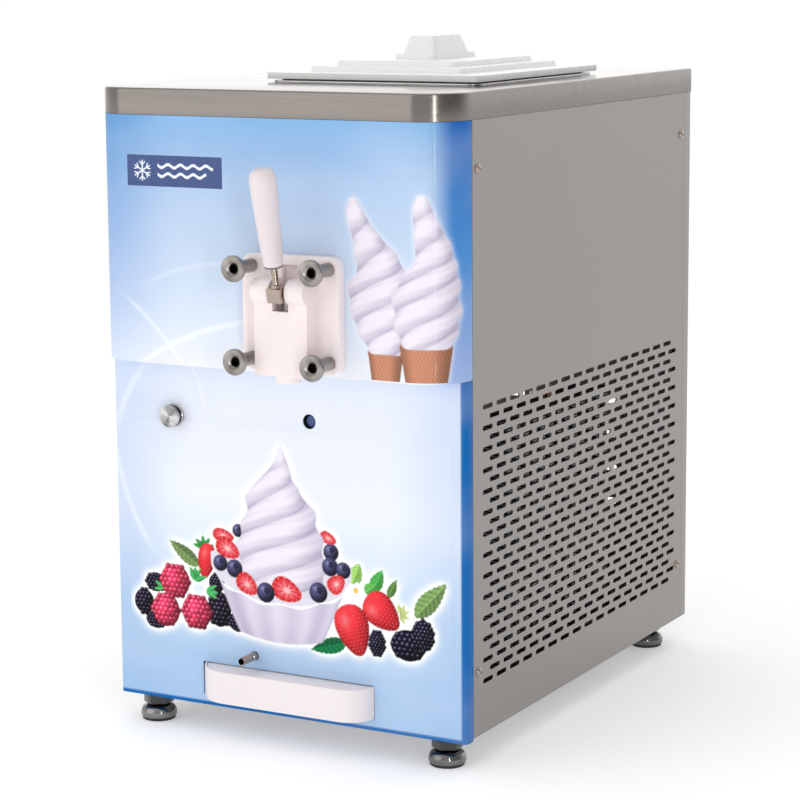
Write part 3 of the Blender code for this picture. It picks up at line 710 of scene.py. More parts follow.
@dataclass(frozen=True)
class SkyPrint:
    """Glossy printed sheet whose sky fades from blue at the top to white at the foot."""

    name: str
    zone: Zone
    painted: bool = False

    def _bonnet(self, recipe: Recipe) -> bpy.types.NodeSocket:
        """Colours the bonnet, which deepens towards the left edge and, with the bend's angle, round the right
        corner, where the deeper blue is partly print and partly painted shade.
        """
        x, y, z = recipe.parts()
        height = recipe.span(z, 0.390, 0.640)
        middle = recipe.ramp(height, [
            (0.00, srgb(238, 241, 249)), (0.16, srgb(222, 232, 246)), (0.36, srgb(204, 219, 240)),
            (0.60, srgb(190, 210, 236)), (0.76, srgb(176, 202, 234)), (0.86, srgb(154, 188, 228)),
            (1.00, srgb(134, 182, 228)),
        ])
        left = recipe.ramp(height, [
            (0.00, srgb(215, 226, 243)), (0.24, srgb(183, 202, 234)), (0.60, srgb(145, 178, 223)),
            (1.00, srgb(106, 158, 211)),
        ])
        # Round the right corner the colour follows the bend's angle: partly the print's deeper blue, partly
        # painted shade where the sheet turns away from the light.
        corner = recipe.ramp(height, [
            (0.00, srgb(156, 177, 226)), (0.45, srgb(82, 146, 212)), (1.00, srgb(0, 100, 186)),
        ])
        across = recipe.sums("SUBTRACT", x, HALF_WIDTH - CORNER)
        ahead = recipe.sums("SUBTRACT", FRONT + CORNER, y)
        angle = recipe.sums("ARCTAN2", across, recipe.sums("MAXIMUM", ahead, 1e-5))
        corner_print_and_shade = recipe.span(angle, 0.42, 1.08, soft=True)
        sheet = recipe.mix(recipe.span(x, -0.09, -0.19, soft=True), middle, left)
        return recipe.mix(corner_print_and_shade, sheet, corner)

    def _lower(self, recipe: Recipe) -> bpy.types.NodeSocket:
        """Colours the lower sheet, palest in its upper half, with painted shadow just under the bonnet and
        painted shade at its right and bottom bends.
        """
        x, _, z = recipe.parts()
        height = recipe.span(z, 0.030, 0.390)
        # The last stops darken a little at the top: painted shadow under the bonnet.
        middle = recipe.ramp(height, [
            (0.00, srgb(170, 200, 234)), (0.16, srgb(175, 204, 236)), (0.24, srgb(190, 213, 240)),
            (0.45, srgb(218, 231, 246)), (0.62, srgb(236, 241, 249)), (0.88, srgb(229, 234, 246)),
            (1.00, srgb(224, 232, 246)),
        ])
        left = recipe.ramp(height, [
            (0.00, srgb(160, 192, 230)), (0.30, srgb(176, 202, 233)), (0.55, srgb(205, 218, 241)),
            (1.00, srgb(205, 218, 241)),
        ])
        edge = recipe.span(recipe.sums("ABSOLUTE", x), 0.11, 0.20, 0.0, 0.85, soft=True)
        sheet = recipe.mix(edge, middle, left)
        # The right and bottom bends are painted dark blue: painted shade where the sheet turns away from the
        # light.
        right_bend_shade = recipe.span(x, HALF_WIDTH - 0.0075, HALF_WIDTH - 0.0045, soft=True)
        foot_bend_shade = recipe.span(z, 0.0350, 0.0320, soft=True)
        fold = recipe.sums("MAXIMUM", right_bend_shade, foot_bend_shade)
        return recipe.mix(fold, sheet, srgb(20, 104, 178))

    def _swoops(self, recipe: Recipe, base: bpy.types.NodeSocket) -> bpy.types.NodeSocket:
        """Lays faint white curved streaks over the left of the sky."""
        x, _, z = recipe.parts()
        for first, second, third, width, strength in (
            ((-0.172, 0.462), (-0.125, 0.424), (-0.095, 0.388), 0.0035, 0.38),
            ((-0.138, 0.472), (-0.085, 0.490), (-0.025, 0.497), 0.0045, 0.20),
            ((-0.160, 0.380), (-0.088, 0.420), (-0.010, 0.440), 0.0055, 0.45),
            ((-0.160, 0.388), (-0.188, 0.350), (-0.203, 0.310), 0.0070, 0.30),
            ((-0.205, 0.295), (-0.190, 0.240), (-0.155, 0.180), 0.0060, 0.35),
            ((-0.112, 0.390), (-0.100, 0.365), (-0.094, 0.335), 0.0030, 0.25),
        ):
            across, up, radius = circle_through(first, second, third)
            dx = recipe.sums("SUBTRACT", x, across)
            dz = recipe.sums("SUBTRACT", z, up)
            far = recipe.sums("SQRT", recipe.sums("MULTIPLY_ADD", dx, dx, recipe.sums("MULTIPLY", dz, dz)))
            gap = recipe.sums("ABSOLUTE", recipe.sums("SUBTRACT", far, radius))
            line = recipe.span(gap, width, 0.0, soft=True)
            middle = recipe.node("CombineXYZ", {0: second[0], 2: second[1]}).outputs[0]
            flat = recipe.node("CombineXYZ", {0: x, 2: z}).outputs[0]
            away = recipe.node("VectorMath", {0: flat, 1: middle}, operation="DISTANCE").outputs["Value"]
            reach = math.dist(first, third) * 0.62
            fade = recipe.span(away, reach, reach * 0.45, 0.0, strength, soft=True)
            base = recipe.mix(recipe.sums("MULTIPLY", line, fade), base, (1.0, 1.0, 1.0))
        return base

    def make(self) -> bpy.types.Material:
        """Makes the material."""
        recipe = Recipe(self.name)
        sky = self._bonnet(recipe) if self.zone is Zone.BONNET else self._lower(recipe)
        mist = recipe.noise((5.0, 5.0, 9.0), 2.0, 0.5)
        sky = recipe.mix(recipe.span(mist, 0.45, 0.80, 0.0, 0.12, soft=True), sky, (1.0, 1.0, 1.0))
        sky = self._swoops(recipe, sky)
        if self.painted:
            paint = recipe.node("VertexColor", layer_name="print")
            sky = recipe.mix(paint.outputs["Alpha"], sky, paint.outputs["Color"])
        peel = recipe.noise((60.0, 60.0, 60.0), 2.0)
        recipe.set(
            Base_Color=sky, Coat_Weight=0.2, Coat_Roughness=0.05, Specular_IOR_Level=0.0,
            Roughness=recipe.span(peel, 0.3, 0.7, 0.36, 0.44), Normal=recipe.bump(peel, 0.00003, 0.3),
        )
        return recipe.material


@dataclass(frozen=True)
class PaintedFilm:
    """Opaque printed film that shows only what is painted on it."""

    name: str

    def make(self) -> bpy.types.Material:
        """Makes the material."""
        recipe = Recipe(self.name)
        paint = recipe.node("VertexColor", layer_name="print").outputs["Color"]
        grain = recipe.noise((500.0, 500.0, 500.0), 2.0)
        recipe.set(
            Base_Color=paint, Coat_Weight=0.6, Coat_Roughness=0.06,
            Roughness=recipe.span(grain, 0.3, 0.7, 0.24, 0.34), Normal=recipe.bump(grain, 0.00001, 0.3),
        )
        return recipe.material


class Shop:
    """Keeps each finish's material, so that it is made once."""

    def __init__(self) -> None:
        """Starts with none made."""
        self.made: dict[str, bpy.types.Material] = {}

    def material(self, finish: object) -> bpy.types.Material:
        """Gives a finish's material."""
        if finish.name not in self.made:
            self.made[finish.name] = finish.make()
        return self.made[finish.name]

    def dress(self, piece: bpy.types.Object, *finishes: object) -> None:
        """Puts finishes in a piece's material slots."""
        piece.data.materials.clear()
        for finish in finishes:
            piece.data.materials.append(self.material(finish))


SHOP = Shop()

SIDE_STEEL = BrushedSteel("side_steel", Axis.Z)
CAP_STEEL = BrushedSteel("cap_steel", Axis.X, (0.23, 0.209, 0.193), 0.17, 0.16)
TANK_STEEL = BrushedSteel("tank_steel", Axis.Z, (0.62, 0.61, 0.60), 0.28)
FORGED_STEEL = Plain("forged_steel", (0.44, 0.36, 0.31), 0.16, 1.0, 900.0)
# A darker copy of the chrome for the feet: painted shade standing in for the dark surroundings they reflect.
SHADED_FOOT_CHROME = Plain("shaded_foot_chrome", (0.26, 0.25, 0.24), 0.12, 1.0, 300.0, 0.00001, 0.2)
CHROME = Plain("chrome", (0.56, 0.54, 0.52), 0.12, 1.0, 300.0, 0.00001)
# Near-black steel for the door studs, also laid on the faces inside the hand nuts' bores as painted shade.
STUD_STEEL_AND_BORE_SHADE = Plain("blackened_steel_and_bore_shade", (0.03, 0.028, 0.026), 0.5, 1.0, 500.0)
ZINC = Plain("zinc_sheet", (0.46, 0.47, 0.49), 0.42, 1.0, 60.0, 0.00003, 0.12)
WHITE = Plain("white_plastic", srgb(242, 233, 234), 0.34, grain=260.0, variation=0.012, milk=0.15)
GRIP_WHITE = Plain("grip_plastic", srgb(230, 219, 221), 0.34, grain=260.0, variation=0.012, milk=0.1)
LID_WHITE = Plain("lid_plastic", srgb(240, 240, 239), 0.30, grain=200.0, variation=0.015, milk=0.1)
MILKY = Plain("milky_plastic", srgb(246, 234, 233), 0.42, grain=320.0, variation=0.02, milk=0.3)
RUBBER = Plain("black_rubber", (0.014, 0.014, 0.015), 0.62, grain=700.0, depth=0.00005, variation=0.15)
GREY_RUBBER = Plain("grey_rubber", (0.33, 0.33, 0.33), 0.55, grain=600.0, depth=0.00004)
FOAM = Plain("foam", (0.72, 0.62, 0.36), 0.85, grain=180.0, depth=0.0008, variation=0.15)
BLACK_PAINT = Plain("black_enamel", (0.012, 0.012, 0.013), 0.3, grain=90.0, depth=0.00005, coat=0.5)
GREY_PAINT = Plain("grey_enamel", (0.20, 0.22, 0.24), 0.38, grain=120.0, depth=0.00006, coat=0.3)
CAST = Plain("cast_aluminium", (0.60, 0.61, 0.62), 0.45, 1.0, 500.0, 0.00015, 0.1)
COPPER = Plain("copper_tube", (0.72, 0.33, 0.20), 0.28, 1.0, 60.0, 0.00002, 0.18)
BLACK_PLASTIC = Plain("black_plastic", (0.02, 0.02, 0.022), 0.36, grain=500.0)
BLUE_PLASTIC = Plain("blue_plastic", srgb(60, 84, 132), 0.3, grain=300.0)
GREY_PLASTIC = Plain("grey_plastic", (0.20, 0.20, 0.20), 0.4, grain=500.0)
BRASS = Plain("brass_pins", (0.70, 0.52, 0.24), 0.25, 1.0, 300.0)
BONNET_PRINT = SkyPrint("bonnet_print", Zone.BONNET)
LOWER_PRINT = SkyPrint("lower_print", Zone.LOWER)
BONNET_FILM = SkyPrint("bonnet_film", Zone.BONNET, True)
LOWER_FILM = SkyPrint("lower_film", Zone.LOWER, True)
BADGE_FILM = PaintedFilm("badge_film")


def install(
    piece: bpy.types.Object, body: str, finishes: Sequence[object], replaced: Sequence[str] = ()
) -> None:
    """Dresses a piece, hands it to its body and hides the nodes it stands for.

    Args:
        piece: The piece.
        body: The body it rides on.
        finishes: Its finishes, one for each material slot.
        replaced: The frame nodes it replaces.
    """
    SHOP.dress(piece, *finishes)
    if replaced:
        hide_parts(*replaced)
    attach(piece, body)
    LOG.info("%s rides on %s, %d faces", piece.name, body, len(piece.data.polygons))


# ---------------------------------------------------------------- casing


@dataclass
class Casing:
    """Steel cap, printed bonnet and lower front, vented side panels and rear panel."""

    opening: tuple[float, float] = (0.1075, 0.1275)
    opening_back: float = HOPPER_BACK
    mouth: tuple[float, float, float] = (0.0518, 0.399, 0.505)
    slot_length: float = 0.0215
    slot_height: float = 0.0050
    slot_pitch: float = 0.0300
    row_pitch: float = 0.01058
    top_row: float = 0.3600
    rows: int = 27
    columns: int = 16
    first_slot: float = 0.0800

    def _shell(
        self, name: str, low: Point, high: Point, open_sides: Callable[[Vector], bool], edge: float
    ) -> bpy.types.Object:
        """Makes a round-cornered sheet shell.

        Args:
            name: The piece's name.
            low: Lowest corner.
            high: Highest corner.
            open_sides: True for the normal of a side that is left open.
            edge: Radius along the top edge, or nought.

        Returns:
            The shell.
        """
        piece = block(name, low, high)
        with Edit(piece) as work:
            work.edges(lambda a, b: upright_edge(a, b) and a.y < low[1] + 1e-5)
            work.bevel(CORNER, 18)
            if edge:
                work.edges(lambda a, b: a.z > high[2] - 1e-5 and b.z > high[2] - 1e-5)
                work.bevel(edge, 4)
            work.faces(lambda face: open_sides(face.normal))
            bpy.ops.mesh.delete(type="FACE")
        modify(piece, "SOLIDIFY", thickness=SHEET, offset=-1.0, use_even_offset=True)
        return piece

    def cap(self) -> None:
        """Makes the steel cap with its opening for the hopper."""
        piece = self._shell(
            "steel_cap", tuple(CAP_LOW), tuple(CAP_HIGH), lambda normal: normal.z < -0.9, 0.0022
        )
        wide, deep = self.opening
        middle = FRONT + self.opening_back
        cutter = round_block(
            "cap_cutter", (DOOR_X - wide, middle - deep, CAP_LOW.z),
            (DOOR_X + wide, middle + deep, CAP_HIGH.z + 0.01), 0.012
        )
        subtract(piece, cutter)
        soften(piece, 0.0)
        install(piece, "chassis", [CAP_STEEL], ["top_cap"])

    def bonnet(self) -> None:
        """Makes the printed upper front, with the mouth for the freezing cylinder."""
        low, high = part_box("front_bonnet")
        piece = self._shell(
            "printed_bonnet", tuple(low), tuple(high), lambda normal: normal.z > 0.9 or normal.y > 0.9, 0.0
        )
        half, bottom, top = self.mouth
        subtract(
            piece,
            block("mouth_cutter", (DOOR_X - half, low.y - 0.01, bottom), (DOOR_X + half, low.y + 0.01, top))
        )
        soften(piece, 0.0004)
        install(piece, "chassis", [BONNET_PRINT], ["front_bonnet"])

    def lower_front(self) -> None:
        """Makes the printed lower front with its tray opening and its three round holes."""
        low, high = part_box("lower_front_panel")
        piece = block("printed_lower_front", low, high)
        with Edit(piece) as work:
            work.edges(lambda a, b: upright_edge(a, b) and a.y < low.y + 1e-5)
            work.bevel(0.004, 5)
            work.faces(lambda face: face.normal.y > 0.9)
            bpy.ops.mesh.delete(type="FACE")
        modify(piece, "SOLIDIFY", thickness=SHEET, offset=-1.0, use_even_offset=True)
        subtract(piece, block("tray_cutter", (-0.1014, low.y - 0.01, 0.0411), (0.1014, low.y + 0.01, 0.0753)))
        for (x, z), radius in ((BUTTON, 0.0086), (RESET, 0.0075), (DRAIN, 0.0046)):
            subtract(piece, rod("hole_cutter", (x, low.y, z), radius, 0.02, Axis.Y, 40))
        soften(piece, 0.0003)
        install(piece, "chassis", [LOWER_PRINT], ["lower_front_panel"])

    def _slots(self, x: float, first: float, top: float, across: int, down: int) -> bpy.types.Object:
        """Makes a block of slot cutters that stands for every second row.

        Args:
            x: Middle of the cut.
            first: Middle of the first slot, back from the front.
            top: Height of the highest row.
            across: Slots in a row.
            down: Rows.

        Returns:
            The cutters as one piece.
        """
        radius = self.slot_height / 2
        deselect()
        bpy.ops.mesh.primitive_cylinder_add(
            vertices=12, radius=radius, depth=0.012, location=(x, FRONT + first, top),
            rotation=(math.pi / 2, math.radians(15), math.pi / 2),
        )
        cutter = named("slot_cutter")
        with Edit(cutter) as work:
            for side in (-1, 1):
                work.points(lambda co, side=side: (co.y - FRONT - first) * side > 0)
                bpy.ops.transform.translate(value=(0, side * (self.slot_length / 2 - radius), 0))
        repeated(cutter, across, (0, self.slot_pitch, 0))
        repeated(cutter, down, (0, 0, -2 * self.row_pitch))
        return cutter

    def side(self, node: str) -> None:
        """Makes one side panel with its staggered rows of slots."""
        low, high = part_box(node)
        piece = block(f"slotted_{node}", low, high)
        middle = (low.x + high.x) / 2
        across = self.columns
        even, odd = (self.rows + 1) // 2, self.rows // 2
        subtract(piece, self._slots(middle, self.first_slot, self.top_row, across, even), "MANIFOLD")
        shifted = self.first_slot + self.slot_pitch / 2
        subtract(piece, self._slots(middle, shifted, self.top_row - self.row_pitch, across, odd), "MANIFOLD")
        soften(piece, 0.0)
        install(piece, "chassis", [SIDE_STEEL], [node])

    def rear(self) -> None:
        """Makes the rear panel with four rows of long slots and the hole for the inlet."""
        low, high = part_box("rear_panel")
        piece = block("slotted_rear_panel", low, high)
        with Edit(piece) as work:
            work.faces(lambda face: face.normal.y < -0.9)
            bpy.ops.mesh.delete(type="FACE")
            work.edges(lambda a, b: upright_edge(a, b) and a.y > high.y - 1e-5)
            work.bevel(0.0025, 4)
        modify(piece, "SOLIDIFY", thickness=SHEET, offset=-1.0, use_even_offset=True)
        subtract(
            piece, block("inlet_cutter", (-0.135, high.y - 0.01, 0.0685), (-0.105, high.y + 0.01, 0.0915))
        )
        cutter = round_slot("vent_cutter", (-0.100, high.y, 0.158), 0.034, 0.008)
        repeated(cutter, 6, (0.040, 0, 0))
        repeated(cutter, 4, (0, 0, 0.040))
        subtract(piece, cutter, "MANIFOLD")
        soften(piece, 0.0)
        install(piece, "chassis", [SIDE_STEEL], ["rear_panel"])

    def screws(self) -> None:
        """Makes one pan-head screw and sets copies of it round the sheets."""
        profile = [
            (0, -0.0006), (0.0048, -0.0006), (0.0048, 0.0004), (0.0043, 0.0013), (0.0034, 0.0020),
            (0.0020, 0.0024), (0, 0.0024)
        ]
        right, back = HALF_WIDTH, CAP_HIGH.y
        spots = [
            (back_way, z) for back_way, z in ((0.060, 0.593), (0.566, 0.593), (0.060, 0.097), (0.566, 0.097))
        ]
        for side, turn in (("right", ALONG_X), ("left", (0, -math.pi / 2, 0))):
            sign = 1 if side == "right" else -1
            screw = turned(
                f"{side}_screw_1", profile, (sign * right, FRONT + spots[0][0], spots[0][1]), turn, 20
            )
            self._cross(screw, Vector((sign * right, FRONT + spots[0][0], spots[0][1])), Axis.X)
            self._set_out(
                screw, side, [(0, back_way - spots[0][0], z - spots[0][1]) for back_way, z in spots]
            )
        screw = turned("rear_screw_1", profile, (-0.190, back, 0.600), ALONG_Y, 20)
        self._cross(screw, Vector((-0.190, back, 0.600)), Axis.Y)
        self._set_out(screw, "rear", [(x, 0, z) for x in (0, 0.190, 0.380) for z in (0, -0.530)])

    def _cross(self, screw: bpy.types.Object, place: Vector, axis: Axis) -> None:
        """Cuts the cross recess in a screw's head."""
        for way in (0, 1):
            others = [i for i in range(3) if i != axis.value]
            size = Vector((0, 0, 0))
            size[axis.value] = 0.0052
            size[others[way]] = 0.0040
            size[others[1 - way]] = 0.0008
            lift = Vector((0, 0, 0))
            lift[axis.value] = math.copysign(0.0038, place[axis.value])
            middle = place + lift
            subtract(screw, block("cross_cutter", middle - size / 2, middle + size / 2))
        soften(screw, 0.0)

    def _set_out(self, screw: bpy.types.Object, side: str, moves: Sequence[Point]) -> None:
        """Copies a screw to each of its places."""
        for number, move in enumerate(moves[1:], start=2):
            install(copied(screw, f"{side}_screw_{number}", move), "chassis", [FORGED_STEEL])
        install(screw, "chassis", [FORGED_STEEL])

    def build(self) -> None:
        """Builds the whole casing."""
        self.cap()
        self.bonnet()
        self.lower_front()
        self.side("right_side_panel")
        self.side("left_side_panel")
        self.rear()
        self.screws()


# ---------------------------------------------------------------- top


@dataclass
class HopperTop:
    """Stepped white lid with its handle, its seal, and the tank and feed tube under it."""

    middle_back: float = HOPPER_BACK
    slab: tuple[float, float] = (0.124, 0.144)
    lip: tuple[float, float] = (0.1035, 0.1235)
    tiers: tuple[tuple[float, float, float], ...] = (
        (0.092, 0.112, 0.682), (0.072, 0.092, 0.6875), (0.026, 0.050, 0.693)
    )

    def _slab(
        self, name: str, half: Sequence[float], low: float, high: float, corner: float
    ) -> bpy.types.Object:
        """Makes a flat round-cornered block about the hopper's middle."""
        x, y = DOOR_X, FRONT + self.middle_back
        return round_block(name, (x - half[0], y - half[1], low), (x + half[0], y + half[1], high), corner)

    def lid(self) -> None:
        """Makes the lid from stacked steps, a trapezoid handle and a lip below."""
        low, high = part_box("hopper_lid")
        lid = self._slab("stepped_lid", self.slab, 0.670, 0.6765, 0.008)
        below = 0.6765
        for wide, deep, top in self.tiers:
            step = self._slab("lid_step", (wide, deep), below - 0.003, top, 0.007)
            with Edit(step) as work:
                work.faces(lambda face: face.normal.z > 0.9)
                bpy.ops.transform.resize(
                    value=(1 - 0.0022 / wide, 1 - 0.0022 / deep, 1),
                    center_override=(DOOR_X, FRONT + self.middle_back, top)
                )
            unite(lid, step)
            below = top
        handle = self._slab("lid_handle", (0.021, 0.040), 0.691, high.z, 0.006)
        with Edit(handle) as work:
            work.faces(lambda face: face.normal.z > 0.9)
            bpy.ops.transform.resize(
                value=(0.70, 0.79, 1), center_override=(DOOR_X, FRONT + self.middle_back, high.z)
            )
        unite(lid, handle)
        unite(lid, self._slab("lid_lip", self.lip, low.z, 0.671, 0.010))
        subtract(lid, self._slab("lid_recess", (0.100, 0.120), low.z - 0.01, 0.6735, 0.008))
        soften(lid, 0.0011, 3)
        install(lid, "lid", [LID_WHITE], ["hopper_lid"])

    def seal(self) -> None:
        """Makes the thin seal under the lid."""
        low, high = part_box("lid_gasket")
        seal = self._slab("lid_seal", (0.113, 0.133), low.z, high.z, 0.010)
        subtract(seal, self._slab("seal_cutter", (0.1045, 0.1245), low.z - 0.01, high.z + 0.01, 0.010))
        soften(seal, 0.0003)
        install(seal, "lid", [GREY_RUBBER], ["lid_gasket"])

    def tank(self) -> None:
        """Makes the drawn tank with its flange and its outlet."""
        low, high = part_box("hopper")
        x, y = DOOR_X, FRONT + self.middle_back
        tank = self._slab("drawn_tank", (0.107, 0.127), 0.550, high.z - 0.0005, 0.016)
        unite(tank, self._slab("tank_flange", (0.120, 0.140), high.z - 0.0012, high.z, 0.012))
        outlet = rod(
            "tank_outlet", (x, FRONT + FEED_BACK, (low.z + 0.551) / 2), 0.013, 0.551 - low.z, Axis.Z, 32
        )
        unite(tank, outlet)
        subtract(tank, self._slab("tank_cutter", (0.105, 0.125), 0.552, high.z + 0.01, 0.015))
        subtract(tank, rod("outlet_cutter", (x, FRONT + FEED_BACK, low.z + 0.02), 0.0105, 0.08, Axis.Z, 32))
        soften(tank, 0.0)
        install(tank, "chassis", [TANK_STEEL], ["hopper"])

    def feed_tube(self) -> None:
        """Makes the feed tube with its side hole."""
        low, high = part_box("mix_feed_tube")
        place = (DOOR_X, FRONT + FEED_BACK, 0)
        profile = [
            (0.0075, low.z), (0.0100, low.z), (0.0100, high.z - 0.001), (0.0093, high.z), (0.0075, high.z)
        ]
        tube = turned("feed_tube", profile, place, sides=32)
        subtract(tube, rod("feed_cutter", (DOOR_X, FRONT + 0.240, 0.562), 0.003, 0.008, Axis.Y, 16))
        soften(tube, 0.0)
        install(tube, "chassis", [WHITE], ["mix_feed_tube"])

    def build(self) -> None:
        """Builds the lid, seal, tank and tube."""
        self.lid()
        self.seal()
        self.tank()
        self.feed_tube()


# ---------------------------------------------------------------- dispenser


@dataclass
class Dispenser:
    """White door held by four hand nuts, with the lever that lifts its plunger."""

    stud_x: float = 0.0433
    stud_z: float = 0.0455
    pivot_back: float = -0.028
    pivot_z: float = 0.4755
    tilt: float = 11.7
    stem_ahead: float = -0.0088

    def door(self) -> None:
        """Softens the door's edges."""
        door = refined("dispensing_door", "moulded_door", 0.0012, 3, 30)
        install(door, "chassis", [MILKY], ["dispensing_door"])

    def nuts(self) -> None:
        """Turns one hand nut and copies it to the four studs."""
        profile = [
            (0.0053, -0.0133), (0.0066, -0.0133), (0.0068, -0.0136), (0.0068, -0.0432), (0.0072, -0.0436),
            (0.0118, -0.0438),
            (0.0125, -0.0442), (0.0130, -0.0450), (0.0130, -0.0478), (0.0125, -0.0486), (0.0116, -0.0490),
            (0.0076, -0.0490),
            (0.0066, -0.0484), (0.0046, -0.0465), (0.0042, -0.0460), (0.0042, -0.0402), (0.0053, -0.0400),
        ]
        spots = [(x, z) for z in (self.stud_z, -self.stud_z) for x in (-self.stud_x, self.stud_x)]
        first = (DOOR_X + spots[0][0], FRONT, AXIS_Z + spots[0][1])
        nut = turned("hand_nut_1", profile, first, ALONG_Y, 48)
        soften(nut, 0.0, angle=28)
        nuts = [nut]
        for number, (x, z) in enumerate(spots[1:], start=2):
            nuts.append(copied(nut, f"hand_nut_{number}", (x - spots[0][0], 0, z - spots[0][1])))
        # Each nut's steel has painted reflection fans by angle, and the faces inside its bore take the dark
        # steel as painted shade in the hole.
        for number, (piece, (x, z)) in enumerate(zip(nuts, spots), start=1):
            steel = TurnedSteel(f"nut_steel_{number}", Axis.Y, (DOOR_X + x, FRONT, AXIS_Z + z), fan=0.45)
            install(piece, f"nut_{number}", [steel, STUD_STEEL_AND_BORE_SHADE], [f"door_nut_{number}"])
            for face in piece.data.polygons:
                reach = math.hypot(face.center.x - DOOR_X - x, face.center.z - AXIS_Z - z)
                face.material_index = 1 if reach < 0.0054 and face.center.y < FRONT - 0.0399 else 0

    def lever(self) -> None:
        """Makes the lever's arm, its dark collar and its tapered grip."""
        arm = refined("lever_arm", "polished_lever_arm", 0.0004, 2, 30)
        install(arm, "lever", [FORGED_STEEL], ["lever_arm"])
        lean = Euler((math.radians(self.tilt), 0, 0)).to_matrix()
        foot = Vector(
            (DOOR_X, FRONT + self.pivot_back, self.pivot_z)
        ) + lean @ Vector((0, self.stem_ahead, 0))
        turn = (math.radians(self.tilt), 0, 0)
        profile = [
            (0.0036, 0.0290), (0.0078, 0.0290), (0.0092, 0.0297), (0.0098, 0.0310), (0.0102, 0.0360),
            (0.0110, 0.0530), (0.0118, 0.0700),
            (0.0126, 0.0870), (0.0133, 0.1050), (0.01345, 0.1120), (0.0132, 0.1165), (0.0125, 0.1200),
            (0.0114, 0.1224),
            (0.0098, 0.1240), (0.0075, 0.1249), (0.0040, 0.1252), (0.0010, 0.1252), (0.0010, 0.0530),
            (0.0036, 0.0520),
        ]
        grip = turned("tapered_grip", profile, foot, turn, 48)
        soften(grip, 0.0, angle=40)
        install(grip, "lever", [GRIP_WHITE], ["lever_grip"])
        collar_profile = [
            (0.0036, 0.0276), (0.0060, 0.0274), (0.0088, 0.0280), (0.0094, 0.0287), (0.0094, 0.0289),
            (0.0036, 0.0289)
        ]
        collar = turned("grip_collar", collar_profile, foot, turn, 40)
        soften(collar, 0.0)
        install(collar, "lever", [GREY_PLASTIC])

    def build(self) -> None:
        """Builds the door, nuts and lever."""
        self.door()
        self.nuts()
        self.lever()


# ---------------------------------------------------------------- lower front


